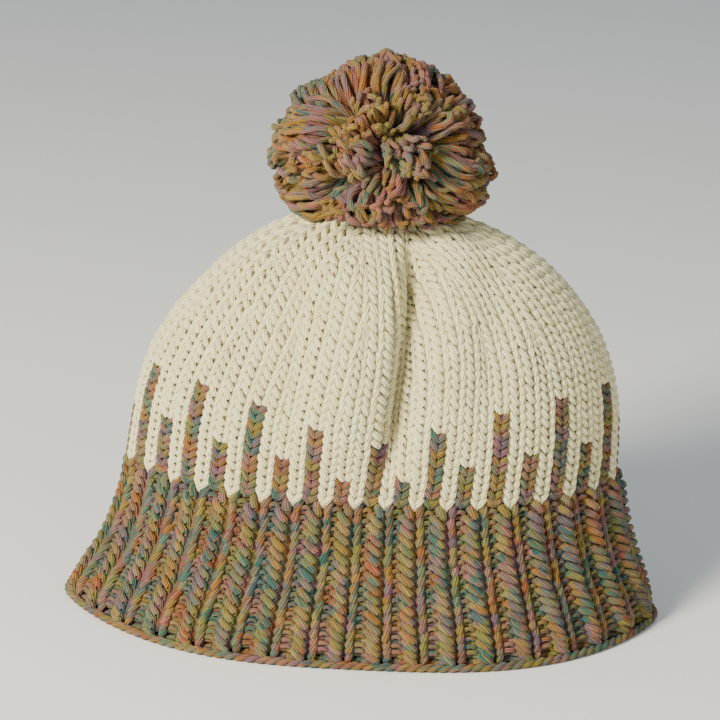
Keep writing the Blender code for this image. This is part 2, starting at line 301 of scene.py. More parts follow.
def make_mesh(name: str, points: Array, sizes: Array, corners: Array,
              maps: dict[str, Array]) -> bpy.types.Object:
    """A smooth object of its points and faces, linked to the scene.

    Args:
        name: its name.
        points: its vertices.
        sizes: how many corners each face has.
        corners: the vertex at each corner, face after face.
        maps: its UV maps, each with a place for every corner.

    Returns:
        The object.
    """
    data = bpy.data.meshes.new(name)
    data.vertices.add(len(points))
    data.vertices.foreach_set("co", points.astype(np.float32).ravel())
    data.loops.add(len(corners))
    data.loops.foreach_set("vertex_index", corners.astype(np.int32))
    data.polygons.add(len(sizes))
    starts = np.concatenate([[0], np.cumsum(sizes)[:-1]]).astype(np.int32)
    data.polygons.foreach_set("loop_start", starts)
    for layer, flat in maps.items():
        data.uv_layers.new(name=layer).uv.foreach_set("vector", flat.astype(np.float32).ravel())
    data.update(calc_edges=True)
    data.validate()
    data.shade_smooth()
    return add_object(name, data)


@dataclass(frozen=True)
class HatForm:
    """The middle surface of the fabric, by a share of the way round and a level in courses.

    Shares go from the middle of the front over the right. Level 0 is the rim, rib_courses the
    band's upper edge and rib_courses + crown_courses the top.
    """

    rim_half_width: float
    rim_half_depth: float
    band_height: float
    crown_half_width: float
    crown_half_depth: float
    crown_height: float
    crown_lean: float
    rib_courses: int = 17
    crown_courses: int = 35
    yarn: float = 0.0029
    rim_flatness: float = 3.0
    rim_edge: float = 1.15
    side_rounding: float = 0.0220
    side_rounding_share: float = 0.04
    proud_left: float = 0.0010
    proud_right: float = 0.0042
    proud_front: float = 0.0020
    proud_back: float = 0.0020
    wall: float = 0.0050
    fold_fade: float = 0.18
    fold_gain: float = 1.5
    gather_count: int = 8
    gather_depth: float = 0.0012
    gather_start: float = 0.62
    gather_full: float = 0.86
    rib_sink: float = 1.35
    crown_sink: float = 1.00
    rim_rise: float = 0.0025
    rise_fade: float = 5
    seam_near: float = 1.0
    seam_far: float = 2.5
    front_weight: float = 0.75
    columns: int = 720
    band_steps: int = 64
    crown_steps: int = 160
    levels_a_course: int = 4
    grid: dict[str, Array] = field(default_factory=dict)

    @classmethod
    def from_frame(cls) -> "HatForm":
        """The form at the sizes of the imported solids."""
        rim_low, rim_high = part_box("cast_on_edge")
        drip_low, drip_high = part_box("drip_band")
        band_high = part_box("rib_band")[1]
        crown_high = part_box("crown")[1]
        fullest = max(row.depth for row in CROWN_ROWS)
        form = cls(
            rim_half_width=(rim_high.x - rim_low.x) / 2,
            rim_half_depth=(rim_high.y - rim_low.y) / 2,
            band_height=band_high.z,
            crown_half_width=(drip_high.x - drip_low.x) / 2,
            crown_half_depth=drip_high.y / fullest,
            crown_height=crown_high.z - band_high.z,
            crown_lean=(drip_high.x + drip_low.x) / 2 / CROWN_ROWS[0].lean,
        )
        form.grid.update(form.survey())
        return form

    @property
    def top_level(self) -> int:
        """The level of the crown's top."""
        return self.rib_courses + self.crown_courses

    def oval(self, reach: Sequence[float], lean: float, flatness: float, edge: float) -> Array:
        """A section at even steps round, from the middle of the front over the right.

        It is an oval whose powers are flatness and edge, blurred along its own length, which
        rounds the fold down each side, and stretched back to its reach on every side.

        Args:
            reach: the half widths to the left and right, and the half depths front and back.
            lean: how far the section is moved to the right.
            flatness: the power across, 2 for an ellipse.
            edge: the power from front to back, 2 for an ellipse.

        Returns:
            Points with x and y, as many as the form has columns.
        """
        left, right, front, back = reach
        angle = np.linspace(0.0, 2 * math.pi, 2 * self.columns, endpoint=False)
        across = np.sign(np.sin(angle)) * np.abs(np.sin(angle)) ** (2.0 / flatness)
        out = np.sign(np.cos(angle)) * np.abs(np.cos(angle)) ** (2.0 / edge)
        x = across * np.where(across > 0, right, left)
        y = -out * np.where(out > 0, front, back)
        even, length = even_ring(np.stack([x, y], axis=1), self.columns)
        rounding = min(self.side_rounding / max(length, SMALLEST), self.side_rounding_share)
        window = hann_window(max(int(rounding * self.columns), 1))
        middle = slice(self.columns, 2 * self.columns)
        x, y = (np.convolve(np.tile(values, 3), window, "same")[middle] for values in even.T)
        x = x * np.where(x > 0, right / max(x.max(), SMALLEST), left / max(-x.min(), SMALLEST))
        y = y * np.where(y > 0, back / max(y.max(), SMALLEST), front / max(-y.min(), SMALLEST))
        return even_ring(np.stack([x + lean, y], axis=1), self.columns)[0]

    def crown_section(self, along: float) -> Array:
        """The crown's outer points at a place along its meridian, without its folds.

        Args:
            along: the place, from 0 at its foot to 1 at its top.

        Returns:
            Points with x, y and z, as many as the form has columns.
        """
        row = row_at(CROWN_ROWS, along)
        half_width, half_depth = self.crown_half_width * row.width, self.crown_half_depth * row.depth
        reach = (half_width, half_width, half_depth, half_depth)
        points = self.oval(reach, self.crown_lean * row.lean, row.flatness, row.edge)
        height = self.band_height + self.crown_height * row.up
        return np.hstack([points, np.full((self.columns, 1), height)])

    def band_section(self, along: float) -> Array:
        """The rib band's outer points at a place up its height.

        Args:
            along: the place, from 0 at the rim to 1 at its upper edge.

        Returns:
            Points with x, y and z, as many as the form has columns.
        """
        row, top = row_at(BAND_ROWS, along), CROWN_ROWS[0]
        lean = self.crown_lean * top.lean
        ends = {
            "left": (self.crown_half_width + self.proud_left - lean, self.rim_half_width),
            "right": (self.crown_half_width + self.proud_right + lean, self.rim_half_width),
            "front": (self.crown_half_depth + self.proud_front, self.rim_half_depth),
            "back": (self.crown_half_depth + self.proud_back, self.rim_half_depth),
        }
        reach = [upper + (rim - upper) * getattr(row, side) for side, (upper, rim) in ends.items()]
        flatness = top.flatness + (self.rim_flatness - top.flatness) * row.front
        edge = top.edge + (self.rim_edge - top.edge) * row.front
        points = self.oval(reach, 0.0, flatness, edge)
        return np.hstack([points, np.full((self.columns, 1), self.band_height * row.up)])

    def relief(self, points: Array, along: Array) -> Array:
        """How far the folds and gathers lift the crown, outwards.

        Each fold is a bell curve round its own upright line, and the gathers are a cosine round
        the top.

        Args:
            points: the crown's grid of points.
            along: the place of each of its rows along the meridian.

        Returns:
            A lift for each point.
        """
        shares = np.arange(self.columns) / self.columns
        across = (shares + 0.5) % 1.0 - 0.5
        round_length = lengths_round(points)
        height = between(CROWN_ROWS, "up", along)
        lift = np.zeros(points.shape[:2])
        for fold in FOLD_ROWS:
            middle = fold.foot + (fold.head - fold.foot) * height[:, None]
            distance = across * round_length[:, None] - middle * self.crown_half_width
            spread = fold.half_width * self.crown_half_width
            spread = spread * np.where(distance > 0, fold.right_flank, 1.0)
            present = step_up(height, fold.bottom - self.fold_fade, fold.bottom + self.fold_fade)
            present = present * (1 - step_up(height, fold.top - self.fold_fade, fold.top))
            bell = np.exp(-((distance / spread) ** 2))
            lift += self.fold_gain * fold.rise * self.wall * present[:, None] * bell
        gathered = step_up(along, self.gather_start, self.gather_full)
        gathered = gathered * (1 - step_up(along, self.gather_full, 1.0))
        waves = np.cos(2 * math.pi * self.gather_count * shares)
        return lift + self.gather_depth * gathered[:, None] * waves

    @staticmethod
    def normals(points: Array) -> Array:
        """Outward normals of a grid of points: the step round crossed with the step up."""
        ahead = np.roll(points, -1, axis=1) - np.roll(points, 1, axis=1)
        upward = np.gradient(points, axis=0)
        return unit(np.cross(ahead, upward))

    def levels_of(self, points: Array, courses: int) -> Array:
        """The level of each row of a grid, in courses, by its length up the front and sides.

        Args:
            points: the grid.
            courses: how many courses it holds.

        Returns:
            A level for each row.
        """
        quarter = self.columns // 4
        front = lengths_along((points[:, 0] + points[:, 2 * quarter]) / 2)
        side = (lengths_along(points[:, quarter]) + lengths_along(points[:, 3 * quarter])) / 2
        mixed = self.front_weight * front + (1 - self.front_weight) * side
        return courses * mixed / mixed[-1]

    def survey(self) -> dict[str, Array]:
        """The middle surface at even levels, with its normals and the length round it.

        Returns:
            The points, normals and lengths round, by name.
        """
        band_along = np.linspace(0.0, 1.0, self.band_steps + 1)
        crown_along = np.linspace(0.0, 1.0, self.crown_steps + 1)
        band = np.stack([self.band_section(along) for along in band_along])
        crown = np.stack([self.crown_section(along) for along in crown_along])
        crown_normals = self.normals(crown)
        crown_normals[-1] = (0.0, 0.0, 1.0)
        crown_levels = self.rib_courses + self.levels_of(crown, self.crown_courses)
        band_levels = self.levels_of(band, self.rib_courses)
        crown = crown + crown_normals * self.relief(crown, crown_along)[..., None]
        crown -= crown_normals * (self.crown_sink * self.yarn)
        band -= self.normals(band) * (self.rib_sink * self.yarn)
        points = np.concatenate([band[:-1], crown])
        levels = np.concatenate([band_levels[:-1], crown_levels])
        even = np.linspace(0.0, self.top_level, self.top_level * self.levels_a_course + 1)
        index = np.clip(np.searchsorted(levels, even, side="right") - 1, 0, len(levels) - 2)
        t = ((even - levels[index]) / (levels[index + 1] - levels[index]))[:, None, None]
        points = points[index] * (1 - t) + points[index + 1] * t
        reach = self.levels_a_course
        window = hann_window(reach)
        padded = np.concatenate([points[:1]] * reach + [points] + [points[-1:]] * reach)
        blurred = sum(w * padded[k : k + len(points)] for k, w in enumerate(window))
        near = 1 - step_up(np.abs(even - self.rib_courses), self.seam_near, self.seam_far)
        points = points + (blurred - points) * near[:, None, None]
        normals = self.normals(points)
        faded = step_up(points[..., 2], 0.0, self.rise_fade * self.rim_rise)
        points[..., 2] += self.rim_rise * (1 - faded)
        normals[-1] = (0.0, 0.0, 1.0)
        return {"points": points, "normals": normals, "around": lengths_round(points)}

    def look_up(self, name: str, shares: Array, levels: Array) -> Array:
        """A value of the surveyed grid between its four nearest points.

        Args:
            name: points or normals.
            shares: shares of the way round, by length.
            levels: levels in courses.

        Returns:
            The value at each share and level.
        """
        values = self.grid[name]
        place = (shares % 1.0) * self.columns
        left = np.floor(place).astype(int)
        s = (place - left)[..., None]
        height = np.clip(levels * self.levels_a_course, 0, len(values) - 1 - SMALLEST)
        low = np.floor(height).astype(int)
        t = (height - low)[..., None]
        left, right = left % self.columns, (left + 1) % self.columns
        below = values[low, left] * (1 - s) + values[low, right] * s
        above = values[low + 1, left] * (1 - s) + values[low + 1, right] * s
        return below * (1 - t) + above * t

    def place(self, shares: Array, levels: Array, lift: Array) -> tuple[Array, Array]:
        """Points at a lift off the middle surface, and the outward normals there."""
        normals = unit(self.look_up("normals", shares, levels))
        points = self.look_up("points", shares, levels)
        return points + normals * np.asarray(lift)[..., None], normals

    def around(self, levels: Array) -> Array:
        """The length round the middle surface at these levels."""
        known = self.grid["around"]
        return np.interp(np.asarray(levels) * self.levels_a_course, np.arange(len(known)), known)


class Borders(NamedTuple):
    """The upright borders of a course's wales, each the sum of four parts, as shares of the way
    round: its base, steps of the narrow wales beside a decrease line, wales from the middle of a
    field, and which way it gives when the ribs close up."""

    base: Array
    axis_steps: Array
    field_steps: Array
    rib_sign: Array

    def take(self, index: Array) -> "Borders":
        """The borders at these places of the arrays."""
        return Borders(*(part[index] for part in self))


@dataclass(frozen=True)
class Chart:
    """Where the wales run, and which yarn shows in each stitch.

    The crown narrows along eight decrease lines. Three wales run straight up each line, and the
    field between two lines keeps its wales at full width, so that its outer ones run out.
    """

    form: HatForm
    wales: int = 72
    sectors: int = 8
    side_spread: float = 0.14
    least_width: float = 0.30
    two_wales_below: float = 0.24
    one_wale_below: float = 0.15
    last_ratio: float = 0.07
    rib_share_low: float = 0.68
    rib_share_high: float = 0.80
    rib_close_from: float = 2.0
    rib_close_to: float = 11.0
    rib_open_below: float = 2.0
    rib_open_above: float = 1.0
    full_courses: int = 4
    axis_shifts: tuple[float, ...] = (0.0, 0.0, 0.001, 0.004, 0.004, 0.001, -0.003, -0.003)
    drip_rows: tuple[int, ...] = (12, 7, 12, 6, 11, 5, 9, 3, 7, 3, 9, 5, 11, 6, 12, 6, 12)
    hidden_drip_rows: tuple[int, ...] = (7, 11, 5, 12, 6, 9, 3, 11, 5, 7, 3, 9, 6, 12, 5, 10, 4, 11,
                                         6)

    def ratio(self, level: Array) -> Array:
        """The length round the crown at a level, as a share of that at its foot, at most 1."""
        foot = self.form.around(self.form.rib_courses + 1.0)
        ratio = np.minimum(self.form.around(level) / foot, 1.0)
        return np.where(np.asarray(level) < self.form.rib_courses + self.full_courses, 1.0, ratio)

    def axis_shift(self, level: Array) -> Array:
        """How far round the first decrease line stands at a level, above the band."""
        above = (np.asarray(level) - self.form.rib_courses) / self.form.crown_courses
        stations = np.linspace(0.0, 1.0, len(self.axis_shifts))
        return np.interp(above, stations, self.axis_shifts)

    def spread(self, shares: Array) -> Array:
        """Shares by wale made shares by length: wales are narrow at the front and back and wide at
        the sides, by a sine that runs twice in a round."""
        return shares - self.side_spread * np.sin(4 * math.pi * shares) / (4 * math.pi)

    def shares(self, borders: Borders, level: Array) -> Array:
        """Where borders stand at a level, as shares of the way round by wale.

        Args:
            borders: the borders.
            level: the level of each.

        Returns:
            A share for each border.
        """
        ratio = self.ratio(level)
        wale = 1.0 / self.wales / np.maximum(ratio, SMALLEST)
        half_sector = 0.5 / self.sectors
        half_axis_wale = np.minimum(LINE_WALES / 2 * wale, half_sector) / LINE_WALES
        limit = half_sector - LINE_WALES * half_axis_wale
        rib = self.rib_share_low + (self.rib_share_high - self.rib_share_low) * step_up(
            level, self.rib_close_from, self.rib_close_to
        )
        rib_end = self.form.rib_courses
        rib = rib + (0.5 - rib) * step_up(level, rib_end - self.rib_open_below,
                                          rib_end + self.rib_open_above)
        return (
            borders.base
            + borders.axis_steps * half_axis_wale
            + np.clip(borders.field_steps * wale, -limit, limit)
            + borders.rib_sign * (rib - 0.5) / self.wales
            + self.axis_shift(level)
        )

    def course(self, level: float) -> tuple[Borders, Borders, Array]:
        """The left and right borders of a course's wales, and each wale's number.

        Args:
            level: the level of the course's foot.

        Returns:
            Left borders, right borders and wale numbers, in order round the hat.
        """
        a_sector = self.wales // self.sectors
        ratio = float(self.ratio(level + 0.5))
        if ratio < self.two_wales_below:
            count = self.sectors * (1 if ratio < self.one_wale_below else 2)
            middles = np.arange(count) / count
            none = np.zeros(count)
            sides = [Borders(middles + side / count, none, none, none) for side in (-0.5, 0.5)]
            return sides[0], sides[1], np.arange(count) * self.wales // count
        wale = 1.0 / self.wales / ratio
        limit = 0.5 / self.sectors - min(LINE_WALES / 2 * wale, 0.5 / self.sectors)
        rows = []
        for sector in range(self.sectors):
            line = sector / self.sectors
            middle = line + 0.5 / self.sectors
            number = sector * a_sector
            first = -0.5 * (a_sector + 1)
            inner = [k for k in range(2, a_sector - 1)
                     if min((first + k + 1) * wale, limit) - max((first + k) * wale, -limit)
                     >= self.least_width * wale]
            rows.append((number, (line, -1.0, 0.0), (line, 1.0, 0.0)))
            rows.append((number + 1, (line, 1.0, 0.0), (middle, 0.0, -a_sector)))
            for k in inner:
                low = -a_sector if k == inner[0] else first + k
                high = a_sector if k == inner[-1] else first + k + 1
                rows.append((number + k, (middle, 0.0, low), (middle, 0.0, high)))
            last = (middle, 0.0, a_sector)
            rows.append((number + a_sector - 1, last, (line + 1 / self.sectors, -1.0, 0.0)))
        numbers = np.array([row[0] for row in rows])
        knit = np.where(numbers % 2 == 1, 1.0, -1.0)
        left = np.array([row[1] for row in rows], float).T
        right = np.array([row[2] for row in rows], float).T
        return Borders(*left, -knit), Borders(*right, knit), numbers

    def drip_tops(self) -> Array:
        """How many courses of each wale's foot are coloured: none but in every second wale."""
        tops = np.zeros(self.wales, int)
        left = len(self.drip_rows) // 2
        for k, rows in enumerate(self.drip_rows + self.hidden_drip_rows):
            tops[2 * (k - left) % self.wales] = rows
        return tops


@dataclass
class Skein:
    """Tubes of yarn that are gathered into one mesh.

    A tube's skin stands round its path in a frame that follows the fabric's own normal, and
    carries a map: metres along the yarn, and turns round it. In the bake map each tube has a cell
    of its own, and the bake numbers are shares of that cell.
    """

    sides: int = 6
    flatten: float = 0.92
    bake_columns: int = 1
    bake_left: float = 0.02
    bake_width: float = 0.96
    bake_foot: float = 0.04
    bake_height: float = 0.9
    bake_tip: float = 0.015
    chunks: list[dict[str, Array]] = field(default_factory=list)

    def lay(self, paths: Array, ups: Array, radii: Array, closed: bool, start: Array) -> Array:
        """Adds tubes of an equal number of points.

        A skin point is the path's point, plus the radius times the cosine of its turn along the
        side, plus the flattened radius times the sine along the up.

        Args:
            paths: tubes by points by three.
            ups: the way each point's up leans, of the same shape.
            radii: tubes by points.
            closed: whether each tube is a ring.
            start: the metres of yarn before each tube.

        Returns:
            The metres of yarn at the end of each tube.
        """
        count, points = paths.shape[:2]
        if closed:
            along = np.roll(paths, -1, axis=1) - np.roll(paths, 1, axis=1)
            ahead = np.roll(paths, -1, axis=1) - paths
        else:
            along = np.gradient(paths, axis=1)
            ahead = np.diff(paths, axis=1)
        along = unit(along)
        side = unit(np.cross(along, ups))
        rise = np.cross(side, along)
        turn = 2 * math.pi * np.arange(self.sides) / self.sides
        wide = radii[..., None, None] * np.cos(turn)[:, None]
        high = radii[..., None, None] * np.sin(turn)[:, None] * self.flatten
        skin = paths[:, :, None] + side[:, :, None] * wide + rise[:, :, None] * high
        metres = np.cumsum(np.linalg.norm(ahead, axis=2), axis=1)
        metres = np.concatenate([np.zeros((count, 1)), metres], axis=1) + start[:, None]
        self.chunks.append({
            "skin": skin.reshape(count, -1, 3),
            "ends": np.zeros((count, 0, 3)) if closed else paths[:, [0, -1]],
            "metres": metres,
            "points": np.array(points),
        })
        return metres[:, -1]

    def faces_of(self, chunk: dict[str, Array], base: int, first: int, tubes: int) -> list[Array]:
        """The corner indices, yarn map and bake map of a chunk's faces.

        Args:
            chunk: tubes of an equal number of points.
            base: the index of its first vertex.
            first: how many tubes come before it.
            tubes: how many tubes the skein holds in all.

        Returns:
            Quad corners, their maps, end corners and their maps.
        """
        count, points, sides = len(chunk["skin"]), int(chunk["points"]), self.sides
        closed = chunk["ends"].shape[1] == 0
        steps = points if closed else points - 1
        tube_size = points * sides + chunk["ends"].shape[1]
        tube = np.arange(count)[:, None, None]
        step = np.arange(steps)[None, :, None]
        k = np.arange(sides)[None, None, :]
        ahead, beside = (step + 1) % points, (k + 1) % sides
        origin, shape = base + tube * tube_size, (count, steps, sides)
        corners = ((step, k), (ahead, k), (ahead, beside), (step, beside))
        quads = at_corners(shape, *(origin + a * sides + b for a, b in corners))
        metre = chunk["metres"]
        low, high = metre[:, :steps, None], metre[:, 1 : steps + 1, None]
        around = at_corners(shape, *((k + n) / sides for n in (0, 0, 1, 1)))
        yarn = np.stack([at_corners(shape, low, high, high, low), around], axis=-1)
        rows = -(-tubes // self.bake_columns)
        cell = first + tube
        column, row = cell % self.bake_columns, cell // self.bake_columns
        left, foot = column + self.bake_left, row + self.bake_foot
        u = [(left + self.bake_width * (step + n) / steps) / self.bake_columns
             for n in (0, 1, 1, 0)]
        v = [(foot + self.bake_height * (k + n) / sides) / rows for n in (0, 0, 1, 1)]
        bake = np.stack([at_corners(shape, *u), at_corners(shape, *v)], axis=-1)
        found = [quads.reshape(-1, 4), yarn.reshape(-1, 4, 2), bake.reshape(-1, 4, 2)]
        if closed:
            return found + [np.zeros((0, 3), int), np.zeros((0, 3, 2)), np.zeros((0, 3, 2))]
        k, shape = k[0], (count, sides)
        origin, column, foot = origin[:, :, 0], column[:, :, 0], foot[:, :, 0]
        caps, cap_yarn, cap_bake = [], [], []
        for end, ring in ((0, 0), (1, points - 1)):
            pole, start = origin + points * sides + end, origin + ring * sides
            one, two = start + k, start + (k + 1) % sides
            caps.append(at_corners(shape, pole, *((two, one) if end else (one, two))))
            turns = (k + 0.5, k + 1, k) if end else (k + 0.5, k, k + 1)
            turns = at_corners(shape, *(turn / sides for turn in turns))
            metres = np.broadcast_to(metre[:, [ring], None], turns.shape)
            cap_yarn.append(np.stack([metres, turns], axis=-1))
            edge = self.bake_left + self.bake_width * end
            across = np.array([edge + (self.bake_tip if end else -self.bake_tip), edge, edge])
            u = np.broadcast_to((column[..., None] + across) / self.bake_columns, turns.shape)
            v = (foot[..., None] + self.bake_height * turns) / rows
            cap_bake.append(np.stack([u, v], axis=-1))
        found += [np.concatenate(group).reshape(-1, *shape)
                  for group, shape in ((caps, (3,)), (cap_yarn, (3, 2)), (cap_bake, (3, 2)))]
        return found

    def mesh(self, name: str) -> bpy.types.Object:
        """One object of all the tubes, linked to the scene.

        Args:
            name: its name.

        Returns:
            The object.
        """
        tubes = sum(len(chunk["skin"]) for chunk in self.chunks)
        places, groups = [], [[] for _ in range(6)]
        base = first = 0
        for chunk in self.chunks:
            whole = np.concatenate([chunk["skin"], chunk["ends"]], axis=1).reshape(-1, 3)
            for group, part in zip(groups, self.faces_of(chunk, base, first, tubes)):
                group.append(part)
            places.append(whole)
            base += len(whole)
            first += len(chunk["skin"])
        quads, quad_yarn, quad_bake, ends, end_yarn, end_bake = map(np.concatenate, groups)
        sizes = np.concatenate([np.full(len(quads), 4), np.full(len(ends), 3)])
        corners = np.concatenate([quads.ravel(), ends.ravel()])
        maps = {layer: np.concatenate([quad_map.reshape(-1, 2), end_map.reshape(-1, 2)])
                for layer, quad_map, end_map in (("yarn", quad_yarn, end_yarn),
                                                 ("OFBake", quad_bake, end_bake))}
        return make_mesh(name, np.concatenate(places), sizes, corners, maps)


class Field:
    """A number that varies over a surface: a socket whose sums and products add Math nodes."""

    def __init__(self, paint: "Paint", socket: bpy.types.NodeSocket) -> None:
        """Keeps the socket and the paint that it belongs to."""
        self.paint = paint
        self.socket = socket

    def math(self, operation: str, *others: "Field | float") -> "Field":
        """A Math node on this number and the others, in order."""
        return self.paint.math(operation, self, *others)

    def __add__(self, other: "Field | float") -> "Field":
        """The sum."""
        return self.math("ADD", other)

    __radd__ = __add__

    def __mul__(self, other: "Field | float") -> "Field":
        """The product."""
        return self.math("MULTIPLY", other)

    __rmul__ = __mul__

    def __sub__(self, other: "Field | float") -> "Field":
        """This less the other."""
        return self.math("SUBTRACT", other)

    def __rsub__(self, other: float) -> "Field":
        """The other less this."""
        return self.paint.math("SUBTRACT", other, self)

    def __truediv__(self, other: "Field | float") -> "Field":
        """This over the other."""
        return self.math("DIVIDE", other)

    def __pow__(self, other: float) -> "Field":
        """This to a power."""
        return self.math("POWER", other)

    def floor(self) -> "Field":
        """The whole part."""
        return self.math("FLOOR")

    def fract(self) -> "Field":
        """What is left past the whole part."""
        return self.math("FRACT")

    def smooth_step(self, low: float, high: float) -> "Field":
        """0 below low, 1 above high and a smooth rise between."""
        t = self.paint.math("MULTIPLY_ADD", self, 1 / (high - low), -low / (high - low))
        t = t.math("MAXIMUM", 0.0).math("MINIMUM", 1.0)
        return t * t * (3.0 - 2.0 * t)


class Paint:
    """A material whose nodes are added by one method."""

    def __init__(self, name: str) -> None:
        """Starts a material with a Principled shader and its output."""
        self.material = bpy.data.materials.new(name)
        self.material.use_nodes = True
        self.tree = self.material.node_tree
        self.shader = self.tree.nodes["Principled BSDF"]

    def node(self, kind: str, settings: dict | None = None,
             inputs: dict | None = None) -> bpy.types.Node:
        """Adds a node.

        Args:
            kind: the node's type.
            settings: its own settings, which are set first; stops fills a colour ramp.
            inputs: values, sockets or fields for its inputs, by name or number.

        Returns:
            The node.
        """
        item = self.tree.nodes.new(kind)
        for key, value in (settings or {}).items():
            if key == "stops":
                ramp = item.color_ramp
                while len(ramp.elements) < len(value):
                    ramp.elements.new(1.0)
                for element, (place, colour) in zip(ramp.elements, value):
                    element.position = place
                    element.color = (*colour, 1.0)
            elif key == "ramp":
                item.color_ramp.interpolation = value
            else:
                setattr(item, key, value)
        self.feed(item, inputs or {})
        return item

    def feed(self, item: bpy.types.Node, inputs: dict) -> None:
        """Links fields and sockets to a node's inputs, by name or number, or sets plain values.

        Args:
            item: the node.
            inputs: values, sockets or fields, by input.
        """
        for key, value in inputs.items():
            if isinstance(value, Field):
                value = value.socket
            if isinstance(value, bpy.types.NodeSocket):
                self.tree.links.new(value, item.inputs[key])
            else:
                item.inputs[key].default_value = value

    def math(self, operation: str, *values: "Field | float") -> Field:
        """A Math node on these values."""
        item = self.node("ShaderNodeMath", {"operation": operation}, dict(enumerate(values)))
        return Field(self, item.outputs[0])

    def mix(self, share: "Field | float", first: object, second: object) -> bpy.types.NodeSocket:
        """A colour between two colours."""
        return self.node("ShaderNodeMix", {"data_type": "RGBA"},
                         {0: share, 6: first, 7: second}).outputs[2]

    def vector(self, x: "Field | float", y: "Field | float",
               z: "Field | float") -> bpy.types.NodeSocket:
        """A vector of three numbers."""
        return self.node("ShaderNodeCombineXYZ", {}, {0: x, 1: y, 2: z}).outputs[0]


RUST: Colour = (0.29, 0.072, 0.014)
COPPER: Colour = (0.32, 0.120, 0.026)
MUSTARD: Colour = (0.29, 0.168, 0.020)
STRAW: Colour = (0.31, 0.225, 0.058)
LIME: Colour = (0.19, 0.18, 0.034)
TEAL: Colour = (0.028, 0.103, 0.084)
SEA: Colour = (0.075, 0.16, 0.12)
SLATE: Colour = (0.085, 0.10, 0.12)
MAUVE: Colour = (0.21, 0.095, 0.135)
PINK: Colour = (0.33, 0.125, 0.12)
PALE_CREAM: Colour = (0.91, 0.825, 0.49)
CREAM: Colour = (0.875, 0.78, 0.42)
WARM_CREAM: Colour = (0.84, 0.725, 0.36)
# A duller, greyer cream for the crown's matting in the gaps between the loops: painted shade.
PAINTED_SHADE_CREAM: Colour = (0.75, 0.72, 0.62)


